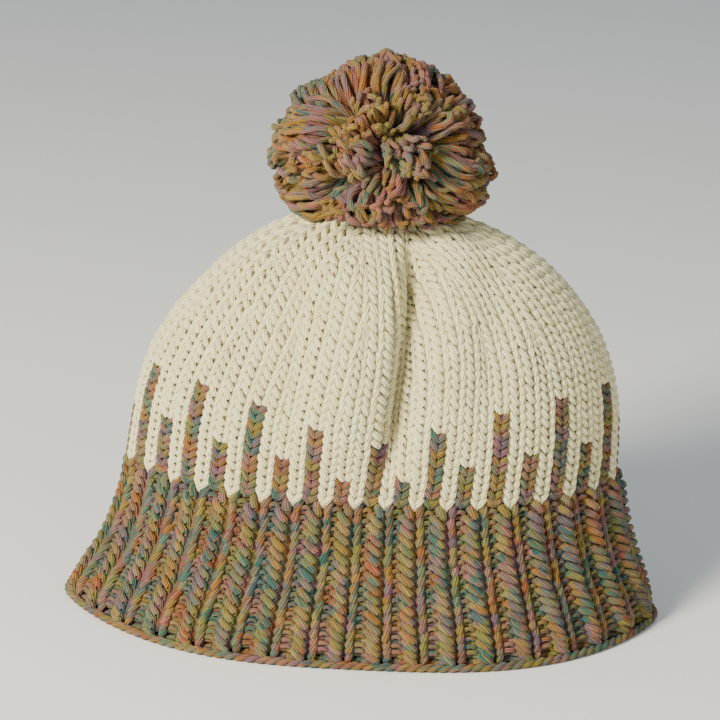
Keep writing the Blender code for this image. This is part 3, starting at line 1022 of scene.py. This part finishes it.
@dataclass(frozen=True)
class YarnFinish:
    """A plied wool yarn: colours that change along it, plies that turn round it, and fibres."""

    name: str
    slot: str
    colours: tuple[Colour, ...]
    change: float
    plies: int = 8
    strands: int = 4
    ply_pitch: float = 0.036
    ply_relief: float = 0.00050
    # How much the grooves between the plies are darkened in the colour: painted shade.
    groove_painted_shade: float = 0.52
    fibre_light: float = 0.22
    patch_light: float = 0.18
    roughness: float = 0.88
    sheen: float = 0.10
    sheen_roughness: float = 0.55
    specular: float = 0.15
    fade: float = 0.45
    own_share: float = 0.50
    patch_size: float = 0.0060
    thread_shift: float = 0.413
    thread_apart: float = 37.0
    fibres_a_metre: float = 150.0
    fibres_a_ply: float = 2.6
    fibre_apart: float = 9.0
    fibre_drift: float = 3.0
    patches_a_metre: float = 45.0
    patch_apart: float = 7.0
    ridge_power: float = 0.9
    ridge_height: float = 0.8
    fibre_height: float = 0.35
    bump_strength: float = 0.9
    brightest: float = 1.12

    def pick(self, paint: Paint, number: object) -> bpy.types.NodeSocket:
        """A colour of the list, drawn by a number from 0 to 1."""
        stops = [(k / len(self.colours), colour) for k, colour in enumerate(self.colours)]
        return paint.node("ShaderNodeValToRGB", {"stops": stops, "ramp": "CONSTANT"},
                          {0: number}).outputs[0]

    def patch_colour(self, paint: Paint) -> bpy.types.NodeSocket:
        """The colour that the yarns near a spot share, by the random cell that it lies in.

        Args:
            paint: the material.

        Returns:
            The colour.
        """
        spot = paint.node("ShaderNodeTexCoord").outputs["Object"]
        cells = paint.node("ShaderNodeTexVoronoi", {"voronoi_dimensions": "3D", "feature": "F1"},
                           {"Vector": spot, "Scale": 1.0 / self.patch_size})
        split = paint.node("ShaderNodeSeparateColor", {}, {0: cells.outputs["Color"]})
        return self.pick(paint, split.outputs[0])

    def thread_colour(self, paint: Paint, metres: Field, thread: Field) -> bpy.types.NodeSocket:
        """The colour of a thread at a length along the yarn.

        Its length is cut into cells, each with a colour drawn at random from the list, and a
        cell's end fades into the next.

        Args:
            paint: the material.
            metres: the length along the yarn.
            thread: the thread's number.

        Returns:
            The colour.
        """
        place = metres / self.change + thread * self.thread_shift
        cell = place.floor() + thread * self.thread_apart
        drawn = []
        for offset in (0.5, 1.5):
            noise = paint.node("ShaderNodeTexWhiteNoise", {"noise_dimensions": "1D"},
                               {"W": cell + offset})
            drawn.append(self.pick(paint, noise.outputs["Value"]))
        return paint.mix(place.fract().smooth_step(1 - self.fade, 1.0), *drawn)

    def ply_colour(self, paint: Paint, metres: Field, ply: Field) -> bpy.types.NodeSocket:
        """The colour of a ply: partly its own thread's, and partly the patch's that it is in."""
        thread = ply.math("MODULO", float(self.strands))
        own = self.thread_colour(paint, metres, thread)
        return paint.mix(self.own_share, self.patch_colour(paint), own)

    def make(self) -> bpy.types.Material:
        """The yarn's material.

        A ply is a stripe that turns round the yarn along its length. It stands out by a sine
        across its width, is darker in its grooves as painted shade, and is streaked by noise
        drawn along it.

        Returns:
            The material.
        """
        paint = Paint(self.name)
        flat = paint.node("ShaderNodeUVMap", {"uv_map": "yarn"})
        split = paint.node("ShaderNodeSeparateXYZ", {}, {0: flat.outputs[0]})
        metres, around = Field(paint, split.outputs[0]), Field(paint, split.outputs[1])
        turn = (around + metres / self.ply_pitch).fract() * float(self.plies)
        ply = turn.floor()
        ridge = (turn.fract() * math.pi).math("SINE") ** self.ridge_power
        spot = paint.vector(metres * self.fibres_a_metre, turn * self.fibres_a_ply,
                            ply * self.fibre_apart + metres * self.fibre_drift)
        fibres = paint.node("ShaderNodeTexNoise", {"noise_dimensions": "3D"},
                            {"Vector": spot, "Scale": 1.0, "Detail": 3.0, "Roughness": 0.6})
        spot = paint.vector(metres * self.patches_a_metre, ply * self.patch_apart, 0.0)
        patches = paint.node("ShaderNodeTexNoise", {"noise_dimensions": "2D"},
                             {"Vector": spot, "Scale": 1.0, "Detail": 1.0})
        streak, patch = Field(paint, fibres.outputs[0]), Field(paint, patches.outputs[0])
        colour = self.ply_colour(paint, metres, ply)
        # Painted shade: the colour is darkened in the grooves between the plies.
        tone = 1.0 - self.groove_painted_shade * (1.0 - ridge)
        tone = tone * (1.0 + (streak - 0.5) * (2 * self.fibre_light))
        tone = tone * (1.0 + (patch - 0.5) * (2 * self.patch_light))
        tone = tone.math("MINIMUM", self.brightest)
        grey = paint.vector(tone, tone, tone)
        shade = paint.node("ShaderNodeVectorMath", {"operation": "MULTIPLY"}, {0: colour, 1: grey})
        relief = ridge * self.ridge_height + streak * self.fibre_height
        bump = paint.node("ShaderNodeBump", {},
                          {"Strength": self.bump_strength, "Distance": self.ply_relief,
                           "Height": relief})
        paint.feed(paint.shader, {
            "Base Color": shade.outputs[0], "Roughness": self.roughness, "Metallic": 0.0,
            "Sheen Weight": self.sheen, "Sheen Roughness": self.sheen_roughness,
            "Specular IOR Level": self.specular, "Normal": bump.outputs[0],
        })
        return paint.material


CREAM_YARN = YarnFinish("cream_wool", "cream_yarn", (PALE_CREAM, CREAM, WARM_CREAM, CREAM),
                        change=0.9, plies=6, strands=3, groove_painted_shade=0.34, ply_relief=0.00045,
                        fibre_light=0.16, patch_light=0.06, fade=0.6, sheen=0.45)
# The crown's matting: a duller, greyer copy of the cream yarn, as painted shade in the gaps between
# the loops.
SHADED_CREAM_MATTING = YarnFinish("cream_matting_painted_shade", "cream_yarn", (PAINTED_SHADE_CREAM,), change=0.9,
                           plies=6, groove_painted_shade=0.25, ply_relief=0.00035,
                           fibre_light=0.14, patch_light=0.06, sheen=0.45)
MIXED_YARN = YarnFinish("mixed_wool", "mixed_yarn",
                        (RUST, COPPER, MUSTARD, STRAW, LIME, LIME, TEAL, TEAL, SEA,
                         SLATE, MAUVE, PINK),
                        change=0.024)
BOBBLE_YARN = YarnFinish("bobble_wool", "bobble_yarn",
                         (RUST, COPPER, MUSTARD, COPPER, STRAW, MUSTARD, LIME, TEAL, SEA, MAUVE,
                          PINK, PINK), change=0.018, own_share=0.52, patch_size=0.008)


def dress(item: bpy.types.Object, finish: YarnFinish, material: bpy.types.Material,
          *nodes: str) -> None:
    """Gives a piece its finish and its place in the frame, and logs it.

    Args:
        item: the piece.
        finish: the yarn; not used.
        material: the yarn's material.
        nodes: the solids that it stands for.
    """
    item.data.materials.append(material)
    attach(item, "root")
    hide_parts(*nodes)
    LOG.info("%s: %d faces, stands for %s", item.name, len(item.data.polygons), ", ".join(nodes))


@dataclass
class Knitting:
    """Lays courses of stitches on the hat's form."""

    form: HatForm
    chart: Chart
    seed: int = 11
    unevenness: float = 0.042
    leg_fullness: float = 1.04
    rib_fullness: float = 1.14
    head_fullness: float = 0.86
    rib_wave: float = 0.45
    rib_rest: float = -0.05
    rib_fade: Pair = (-0.5, 1.5)
    valley_shift: float = 0.06
    point_drops: tuple[float, ...] = (0.42, 0.14, 0.14, 0.42)
    leg_out: float = 0.55
    head_out: float = 0.75
    narrowest: float = 0.7
    widest: float = 1.08
    wander: float = 0.04
    wander_rounds: int = 3
    wander_a_level: float = 0.37

    def __post_init__(self) -> None:
        """Starts the random draws that make stitches unlike."""
        self.draws = np.random.default_rng(self.seed)

    def loop(self, stitch: Stitch, steep: float, ribbed: bool) -> Array:
        """The points of one stitch's yarn, from the sinker on its left.

        Args:
            stitch: what the yarn does.
            steep: 1 for a right leg that stands upright, and 0 for one that mirrors the left
                one, whose feet then meet in a point.
            ribbed: whether the sinkers cross from the front of the fabric to the back.

        Returns:
            Points by across, up and out.
        """
        if stitch is Stitch.FLOAT:
            return np.array(FLOAT_PATH)
        left = np.array(LEFT_LEG)
        mirrored = left[::-1] * (-1.0, 1.0, 1.0)
        right = steep * np.array(STEEP_RIGHT_LEG) + (1 - steep) * mirrored
        points = np.vstack([[SINKER], left, HEAD, right])
        if steep == 0:
            points[[1, 2, -2, -1], 1] -= self.point_drops
        if stitch is Stitch.PURL:
            points[:, 2] *= -1.0
        if ribbed:
            points[0, 2] = 0.0
        return points

    def rib_lift(self, shares: Array, levels: Array) -> Array:
        """How far the ribs stand out, in yarn diameters: a cosine over each pair of wales, which
        fades away just above the band.

        Args:
            shares: shares of the way round, by wale.
            levels: levels in courses.

        Returns:
            A lift for each share and level.
        """
        pair = (shares - self.chart.axis_shift(levels)) * self.chart.wales / 2
        fading = 1 - step_up(levels - self.form.rib_courses, *self.rib_fade)
        wave = np.cos(2 * math.pi * (pair + self.valley_shift))
        return fading * (self.rib_rest - self.rib_wave * wave)

    def course(self, level: float, stitches: Sequence[Stitch], steep: float,
               ribbed: bool) -> tuple[Array, Array, Array]:
        """The path of one course's yarn, a ring round the hat.

        A point's share of the way round lies between its wale's two borders at its own level,
        and its lift is in yarn diameters. Each stitch is moved and stretched a little.

        Args:
            level: the level of the course's foot.
            stitches: what the yarn does in each wale.
            steep: how upright the right legs stand.
            ribbed: whether knit and purl wales alternate.

        Returns:
            Points, their outward normals and the yarn's radius at each.
        """
        left, right = self.chart.course(level)[:2]
        loops = [self.loop(stitch, steep, ribbed) for stitch in stitches]
        owner = np.repeat(np.arange(len(loops)), [len(points) for points in loops])
        points = np.concatenate(loops)
        moved = self.draws.normal(0.0, self.unevenness, (3, len(loops)))
        across = points[:, 0] * (1.0 + moved[0][owner]) + 0.5 * moved[1][owner]
        levels = level + points[:, 1] + moved[2][owner]
        low = self.chart.shares(left.take(owner), levels)
        high = self.chart.shares(right.take(owner), levels)
        shares = low + (across + 0.5) * (high - low)
        lift = points[:, 2]
        leg_fullness = self.leg_fullness
        if ribbed:
            lift = lift + self.rib_lift(shares, levels)
            leg_fullness = self.rib_fullness
        shares = self.chart.spread(shares)
        width = (high - low) * self.form.around(levels) / self.wale_width()
        narrow = np.clip(width, self.narrowest, self.widest)
        in_leg = step_up(-np.abs(points[:, 2]), -self.head_out, -self.leg_out)
        fullness = self.head_fullness + (leg_fullness - self.head_fullness) * in_leg
        turns = shares * self.wander_rounds + level * self.wander_a_level
        wander = 1 + self.wander * np.sin(2 * math.pi * turns)
        radii = 0.5 * self.form.yarn * fullness * wander * narrow
        places, normals = self.form.place(shares, levels, lift * self.form.yarn)
        return places, normals, radii

    def wale_width(self) -> float:
        """The width of a wale at the crown's foot."""
        return float(self.form.around(self.form.rib_courses + 1.0)) / self.chart.wales

    def lay_courses(self, skein: Skein, rows: Iterable[tuple[float, Sequence[Stitch]]],
                    start: float, steep: float, ribbed: bool = False) -> float:
        """Lays courses one after another, with the yarn's length running on.

        Args:
            skein: what they are added to.
            rows: the level and the stitches of each course.
            start: the metres of yarn before the first.
            steep: how upright the right legs stand.
            ribbed: whether knit and purl wales alternate.

        Returns:
            The metres of yarn at the end.
        """
        for level, stitches in rows:
            points, normals, radii = self.course(level, stitches, steep, ribbed)
            end = skein.lay(points[None], normals[None], radii[None], True, np.array([start]))
            start = float(end[0])
        return start


@dataclass
class Matting:
    """The matted fibres that close the gaps between the loops: a thin skin in the middle of the
    fabric. Its lifts are in yarn diameters."""

    knitting: Knitting
    columns: int = 288
    outer: float = 0.06
    inner: float = -0.50
    length: float = 0.45
    foot: float = 0.5
    below_top: float = 1.0

    def build(self, name: str, finish: YarnFinish, material: bpy.types.Material,
              first: float, last: float, *nodes: str) -> None:
        """Builds the skin between two levels: out and up, then in and down, a closed ring.

        Args:
            name: the piece's name.
            finish: the yarn.
            material: the yarn's material.
            first: the lower level.
            last: the upper level.
            nodes: the solids that it stands for.
        """
        form, chart = self.knitting.form, self.knitting.chart
        rows = int(round(last - first)) + 1
        climb = np.linspace(first, last, rows)
        levels, shares = np.meshgrid(np.concatenate([climb, climb[::-1]]),
                                     np.arange(self.columns) / self.columns, indexing="ij")
        lift = np.where(np.arange(2 * rows) < rows, self.outer, self.inner)[:, None]
        lift = lift + self.knitting.rib_lift(shares, levels)
        points = form.place(chart.spread(shares), levels, lift * form.yarn)[0]
        row = np.arange(2 * rows)[:, None, None]
        column = np.arange(self.columns)[None, :, None]
        up, over = np.array([0, 0, 1, 1]), np.array([0, 1, 1, 0])
        corners = (row + up) % (2 * rows) * self.columns + (column + over) % self.columns
        heights = np.append(levels[:, 0], levels[0, 0])
        along = (column + over) / self.columns
        places = np.broadcast_arrays(along * self.length, heights[row + up])
        bake = np.broadcast_arrays(along, (row + up) / (2 * rows))
        maps = {"yarn": np.stack(places, axis=-1), "OFBake": np.stack(bake, axis=-1)}
        sizes = np.full(2 * rows * self.columns, 4)
        skin = make_mesh(name, points.reshape(-1, 3), sizes, corners.ravel(), maps)
        dress(skin, finish, material, *nodes)


@dataclass
class RibBand:
    """The flared band of one-by-one rib: a knit wale and a purl wale in turn."""

    knitting: Knitting
    pieces: int = 2

    def build(self, material: bpy.types.Material) -> float:
        """Builds the band in pieces, from the rim up.

        Args:
            material: the mixed yarn's.

        Returns:
            The metres of yarn.
        """
        form, chart = self.knitting.form, self.knitting.chart
        stitches = [Stitch.KNIT if number % 2 else Stitch.PURL for number in range(chart.wales)]
        used = 0.0
        for k, levels in enumerate(np.array_split(np.arange(form.rib_courses), self.pieces)):
            skein = Skein()
            rows = [(float(level), stitches) for level in levels]
            used = self.knitting.lay_courses(skein, rows, used, steep=1.0, ribbed=True)
            dress(skein.mesh(f"rib_stitches_{k + 1}"), MIXED_YARN, material, "rib_band")
        return used


@dataclass
class DripBand:
    """The foot of the crown, where the coloured yarn runs up every second wale."""

    knitting: Knitting
    steep: float = 0.95
    coloured_steep: float = 0.1

    def build(self, mixed: bpy.types.Material, cream: bpy.types.Material, start: float) -> int:
        """Builds both yarns' courses: where one shows, the other runs behind it.

        Args:
            mixed: the mixed yarn's material.
            cream: the cream yarn's material.
            start: the metres of mixed yarn before the first course.

        Returns:
            The first level of the plain crown.
        """
        form, chart = self.knitting.form, self.knitting.chart
        tops = chart.drip_tops()
        coloured, plain = Skein(), Skein()
        metres = [start, 0.0]
        height = int(tops.max())
        for row in range(height):
            level = float(form.rib_courses + row)
            numbers = chart.course(level)[2]
            shows = tops[numbers] > row
            steep = self.steep if row else 0.0
            first = [Stitch.KNIT if show else Stitch.FLOAT for show in shows]
            second = [Stitch.FLOAT if show else Stitch.KNIT for show in shows]
            metres[0] = self.knitting.lay_courses(coloured, [(level, first)], metres[0],
                                                  self.coloured_steep)
            metres[1] = self.knitting.lay_courses(plain, [(level, second)], metres[1], steep)
        dress(coloured.mesh("drip_stitches"), MIXED_YARN, mixed, "drip_band")
        dress(plain.mesh("drip_ground_stitches"), CREAM_YARN, cream, "drip_band")
        return form.rib_courses + height


@dataclass
class Crown:
    """The plain cream dome, whose yarn starts at some metres of its length."""

    knitting: Knitting
    pieces: int = 2
    yarn_start: float = 30.0

    def build(self, material: bpy.types.Material, first: int) -> None:
        """Builds the dome's courses from this level to the top.

        Args:
            material: the cream yarn's.
            first: the level of the lowest course.
        """
        form, chart = self.knitting.form, self.knitting.chart
        levels = [level for level in range(first, form.top_level)
                  if float(chart.ratio(level + 0.5)) > chart.last_ratio]
        start = self.yarn_start
        for k, group in enumerate(np.array_split(np.array(levels), self.pieces)):
            skein = Skein()
            rows = [(float(level), [Stitch.KNIT] * len(chart.course(float(level))[2]))
                    for level in group]
            start = self.knitting.lay_courses(skein, rows, start, steep=1.0)
            dress(skein.mesh(f"crown_stitches_{k + 1}"), CREAM_YARN, material, "crown")


@dataclass
class CastOnEdge:
    """The cast-on edge: two strands that turn about each other, on the floor."""

    knitting: Knitting
    strand: float = 0.0022
    turns: int = 72
    points_a_turn: int = 12
    apart: float = 0.0007
    clearance: float = 0.0001
    yarn_start: float = 60.0
    yarn_step: float = 3.0

    def build(self, material: bpy.types.Material) -> None:
        """Builds the cord: each strand is a helix round the rim's own line.

        Args:
            material: the mixed yarn's.
        """
        form = self.knitting.form
        count = self.turns * self.points_a_turn
        shares = np.arange(count) / count
        rim, normals = form.place(shares, np.zeros(count), np.zeros(count))
        sideways = unit(normals * (1.0, 1.0, 0.0))
        rise = self.apart + 0.5 * self.strand + self.clearance
        centre = rim * (1.0, 1.0, 0.0) + (0.0, 0.0, rise) + sideways * form.yarn
        skein = Skein(sides=8, flatten=1.0)
        for k in range(2):
            turn = 2 * math.pi * (self.turns * shares + k / 2)
            lift = np.array([0.0, 0.0, 1.0]) * (self.apart * np.sin(turn))[:, None]
            path = centre + sideways * (self.apart * np.cos(turn))[:, None] + lift
            radii = np.full(count, self.strand / 2)
            start = np.array([self.yarn_start + self.yarn_step * k])
            skein.lay(path[None], sideways[None], radii[None], True, start)
        dress(skein.mesh("cast_on_cord"), MIXED_YARN, material, "cast_on_edge")


@dataclass
class Bobble:
    """The bobble: cut strands of yarn that rise from a tight middle, bend over and lie combed in
    locks, away from the middle of the front and of the back.

    A scatter is the spread of normal random draws. A pair is the least and most of even draws, or
    the ends of a smooth step where its name has between. root and bow are shares of the half
    width, the two reaches are shares of a strand's length, and core_cap is in degrees.
    """

    centre: Array
    half_height: float
    half_width: float = 0.0445
    middle_height: float = 0.0253
    strands: int = 2350
    locks: int = 54
    pieces: int = 2
    strand: float = 0.0026
    stations: tuple[float, ...] = (0.0, 0.30, 0.47, 0.60, 0.72, 0.83, 0.92, 0.98, 1.0)
    fullness: tuple[float, ...] = (1.2, 1.4, 1.3, 1.15, 1.0, 1.0, 1.02, 0.92, 0.66)
    lowest: float = -0.80
    front_share: float = 1.42
    root: float = 0.22
    keep: float = 0.86
    change: float = 0.016
    pole: Place = (-0.10, -0.99, 0.06)
    seed: int = 5
    root_scatter: float = 0.04
    lock_scatter: float = 0.12
    aside_scatter: float = 0.19
    tip_scatter: float = 0.05
    combed_between: Pair = (0.20, 0.70)
    comb: Pair = (0.30, 1.25)
    depth: Pair = (0.88, 1.02)
    sunk_share: float = 0.2
    sunk_depth: float = 0.80
    bend: float = 0.35
    straight_reach: float = 0.70
    bend_reach: float = 1.01
    bow: float = 0.045
    lowest_side: float = -0.40
    lower_front: float = 0.26
    front_between: Pair = (0.40, 0.80)
    yarn_length: float = 50.0
    lock_stretch: float = 0.45
    stray_share: float = 0.35
    thickness: Pair = (0.85, 1.15)
    strand_up: Place = (0.3, 0.2, 1.0)
    core_radius: float = 0.019
    core_half_height: float = 0.0225
    core_drop: float = 0.004
    core_cap: float = 10.0
    core_rings: int = 13
    core_sides: int = 24

    @classmethod
    def from_frame(cls) -> "Bobble":
        """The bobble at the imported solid's size and place."""
        low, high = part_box("bobble")
        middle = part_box("crown")[1].z + cls.middle_height
        centre = np.array([(low.x + high.x) / 2, (low.y + high.y) / 2, middle])
        return cls(centre, high.z - centre[2])

    @staticmethod
    def spread(count: int, lowest: float) -> Array:
        """Directions spread evenly over a ball above a lowest height, by the golden angle.

        Args:
            count: how many.
            lowest: the height, from -1 to 1, that they stay above.

        Returns:
            Unit vectors.
        """
        k = np.arange(count)
        up = 1.0 - (1.0 - lowest) * (k + 0.5) / count
        turn = math.pi * (3.0 - math.sqrt(5.0)) * k
        out = np.sqrt(1.0 - up**2)
        return np.stack([out * np.cos(turn), out * np.sin(turn), up], axis=1)

    def reach(self, ways: Array) -> Array:
        """How far the bobble reaches along directions: its oval times its lobes.

        Args:
            ways: unit vectors.

        Returns:
            A length for each.
        """
        turn = np.degrees(np.arctan2(ways[:, 2], ways[:, 0])) % 360.0
        lobes = np.interp(turn, [row.turn for row in LOBE_ROWS], [row.reach for row in LOBE_ROWS])
        lobes = 1.0 + (lobes - 1.0) * (1.0 - ways[:, 1] ** 2)
        stretch = np.array([self.half_width, self.half_width, self.half_height])
        return lobes * np.linalg.norm(ways * stretch, axis=1)

    def above_crown(self, ways: Array) -> Array:
        """Directions lifted off the crown: they may hang lower at the front and back."""
        front = step_up(np.abs(ways[:, 1]), *self.front_between)
        low = self.lowest_side - self.lower_front * front
        return unit(np.stack([ways[:, 0], ways[:, 1], np.maximum(ways[:, 2], low)], axis=1))

    def paths(self, draws: np.random.Generator) -> tuple[Array, Array, Array]:
        """The strands' paths, the locks they lie in and the ways their tips point.

        A strand is a cubic curve through four points: its root, a point straight above it, one
        on its way over and its tip. A lock's tips turn from its roots' way towards the rim of
        the bobble, by a share of its own, and a little aside.

        Args:
            draws: the random draws.

        Returns:
            Paths, lock numbers and tip directions.
        """
        roots = self.spread(self.strands, self.lowest) * (1.0, self.front_share, 1.0)
        roots = unit(roots + draws.normal(0.0, self.root_scatter, roots.shape))
        locks = self.spread(self.locks, self.lowest) * (1.0, self.front_share, 1.0)
        locks = unit(locks + draws.normal(0.0, self.lock_scatter, locks.shape))
        own = np.argmax(roots @ locks.T, axis=1)
        pole = unit(np.array(self.pole))
        along = np.sum(locks * pole, axis=1, keepdims=True) * pole
        sideways = locks - along
        far = step_up(np.linalg.norm(sideways, axis=1, keepdims=True), *self.combed_between)
        comb = draws.uniform(*self.comb, (self.locks, 1)) * far
        aside = np.cross(locks, draws.normal(0.0, self.aside_scatter, locks.shape))
        combed = along + sideways * (1.0 + comb) + aside
        tips = unit(combed)[own] + self.keep * (roots - locks[own])
        tips = self.above_crown(unit(tips + draws.normal(0.0, self.tip_scatter, tips.shape)))
        depth = draws.uniform(*self.depth, (self.strands, 1))
        sunk = draws.uniform(0.0, 1.0, depth.shape) < self.sunk_share
        length = self.reach(tips)[:, None] * np.where(sunk, self.sunk_depth * depth, depth)
        turn = unit(roots + self.bend * (tips - roots))
        corners = (roots * (self.root * self.half_width), roots * (self.straight_reach * length),
                   turn * (self.bend_reach * length), tips * length)
        t = np.array(self.stations)[None, :, None]
        weights = ((1 - t) ** 3, 3 * t * (1 - t) ** 2, 3 * t**2 * (1 - t), t**3)
        paths = sum(weight * corner[:, None] for weight, corner in zip(weights, corners))
        bow = np.cross(tips, draws.normal(0.0, 1.0, tips.shape)) * (self.bow * self.half_width)
        paths = paths + bow[:, None] * np.sin(2 * math.pi * t) * t
        return paths + self.centre, own, tips

    def build(self, material: bpy.types.Material) -> None:
        """Builds the strands and the core. A lock's strands are cut from one stretch of yarn, and
        some are from elsewhere, so that colours gather in patches.

        Args:
            material: the bobble yarn's.
        """
        draws = np.random.default_rng(self.seed)
        paths, own, tips = self.paths(draws)
        lock_start = draws.uniform(0.0, self.yarn_length, self.locks)[own]
        near = lock_start + draws.normal(0.0, self.lock_stretch * self.change, self.strands)
        stray = draws.uniform(0.0, self.yarn_length, self.strands)
        strays = draws.uniform(0.0, 1.0, self.strands) < self.stray_share
        starts = np.where(strays, stray, near)
        thickness = draws.uniform(*self.thickness, (self.strands, 1))
        radii = 0.5 * self.strand * thickness * np.array(self.fullness)
        ups = np.broadcast_to(np.cross(tips, self.strand_up)[:, None], paths.shape)
        for k, chosen in enumerate(np.array_split(np.argsort(own), self.pieces)):
            skein = Skein(sides=6, flatten=0.95, bake_columns=20)
            skein.lay(paths[chosen], ups[chosen], radii[chosen], False, starts[chosen])
            dress(skein.mesh(f"bobble_strands_{k + 1}"), BOBBLE_YARN, material, "bobble")
        self.build_core(material)

    def build_core(self, material: bpy.types.Material) -> None:
        """Builds the tight middle, where the strands are tied and sewn to the crown: an upright
        oval, as a tube whose height is the cosine of an angle and whose radius is its sine.

        Args:
            material: the bobble yarn's.
        """
        angle = np.linspace(math.radians(self.core_cap), math.radians(180.0 - self.core_cap),
                            self.core_rings)
        path = np.zeros((1, len(angle), 3))
        path[0, :, 2] = -self.core_half_height * np.cos(angle) - self.core_drop
        ups = np.broadcast_to(np.array([1.0, 0.0, 0.0]), path.shape)
        skein = Skein(sides=self.core_sides, flatten=1.0)
        radii = (self.core_radius * np.sin(angle))[None]
        skein.lay(path + self.centre, ups, radii, False, np.array([0.0]))
        dress(skein.mesh("bobble_core"), BOBBLE_YARN, material, "bobble")


class LightRow(NamedTuple):
    """A soft square light: its name, its place, its width and its power in watts."""

    name: str
    place: Place
    size: float
    power: float


LIGHT_ROWS = (
    LightRow("key_light", (-1.1, -1.25, 1.0), 0.55, 72.0),
    LightRow("fill_light", (1.1, -1.1, 0.7), 1.2, 5.0),
)


@dataclass(frozen=True)
class Studio:
    """The pale floor, the soft lights and the camera."""

    aim: Place = (-0.0051, 0.0, 0.1098)
    distance: float = 0.951
    elevation: float = 17.28
    roll: float = 2.56
    lens: float = 113.5
    sensor: float = 36.0
    floor_half: float = 3.0
    floor_colour: Colour = (0.95, 0.93, 0.91)
    floor_roughness: float = 0.9
    room_strength: float = 0.46
    light_colour: Colour = (1.0, 0.955, 0.80)
    room_colour: Colour = (0.82, 0.92, 1.0)

    def build_camera(self) -> None:
        """A camera on the aim from the front, above it, and turned a little."""
        tilt, roll = math.radians(self.elevation), math.radians(self.roll)
        back = Vector((0.0, -math.cos(tilt), math.sin(tilt)))
        right, up = Vector((1.0, 0.0, 0.0)), Vector((0.0, math.sin(tilt), math.cos(tilt)))
        turned_right = right * math.cos(roll) + up * math.sin(roll)
        turned_up = up * math.cos(roll) - right * math.sin(roll)
        data = bpy.data.cameras.new("front_camera")
        data.lens = self.lens
        data.sensor_width = self.sensor
        camera = add_object("front_camera", data)
        place = Matrix((turned_right, turned_up, back)).transposed().to_4x4()
        place.translation = Vector(self.aim) + back * self.distance
        camera.matrix_world = place
        bpy.context.scene.camera = camera

    def build_floor(self) -> None:
        """A wide matt floor."""
        half = self.floor_half
        data = bpy.data.meshes.new("floor")
        corners = [(-half, -half, 0.0), (half, -half, 0.0), (half, half, 0.0), (-half, half, 0.0)]
        data.from_pydata(corners, [], [(0, 1, 2, 3)])
        paint = Paint("pale_floor")
        paint.feed(paint.shader, {"Base Color": (*self.floor_colour, 1.0),
                                  "Roughness": self.floor_roughness})
        data.materials.append(paint.material)
        add_object("floor", data)

    def add_light(self, row: LightRow) -> None:
        """A light that faces the hat.

        Args:
            row: its row of the table.
        """
        data = bpy.data.lights.new(row.name, "AREA")
        data.size = row.size
        data.energy = row.power
        data.color = self.light_colour
        light = add_object(row.name, data)
        light.location = row.place
        towards = Vector(self.aim) - Vector(row.place)
        light.rotation_mode = "QUATERNION"
        light.rotation_quaternion = towards.to_track_quat("-Z", "Y")

    def build(self) -> None:
        """Builds the camera, the floor and the lights."""
        self.build_camera()
        self.build_floor()
        for row in LIGHT_ROWS:
            self.add_light(row)
        world = bpy.data.worlds.new("pale_room")
        world.use_nodes = True
        background = world.node_tree.nodes["Background"]
        background.inputs["Color"].default_value = (*self.room_colour, 1.0)
        background.inputs["Strength"].default_value = self.room_strength
        bpy.context.scene.world = world


def main() -> None:
    """Builds the studio and the hat, piece by piece."""
    logging.basicConfig(level=logging.INFO, format="%(name)s: %(message)s")
    Studio().build()
    form = HatForm.from_frame()
    knitting = Knitting(form, Chart(form))
    cream, mixed, bobble = (finish.make() for finish in (CREAM_YARN, MIXED_YARN, BOBBLE_YARN))
    # The duller, greyer cream for the crown's matting, which is painted shade.
    shaded_matting = SHADED_CREAM_MATTING.make()
    CastOnEdge(knitting).build(mixed)
    used = RibBand(knitting).build(mixed)
    plain_from = DripBand(knitting).build(mixed, cream, used)
    Crown(knitting).build(cream, plain_from)
    matting = Matting(knitting)
    seam, top = form.rib_courses + matting.foot, form.top_level - matting.below_top
    matting.build("rib_matting", MIXED_YARN, mixed, matting.foot, seam, "rib_band")
    # The crown's matting takes the duller, greyer cream: painted shade in the gaps between the
    # loops.
    matting.build("crown_matting_painted_shade", SHADED_CREAM_MATTING, shaded_matting, seam, top, "drip_band", "crown")
    Bobble.from_frame().build(bobble)


if __name__ == "__main__":
    main()
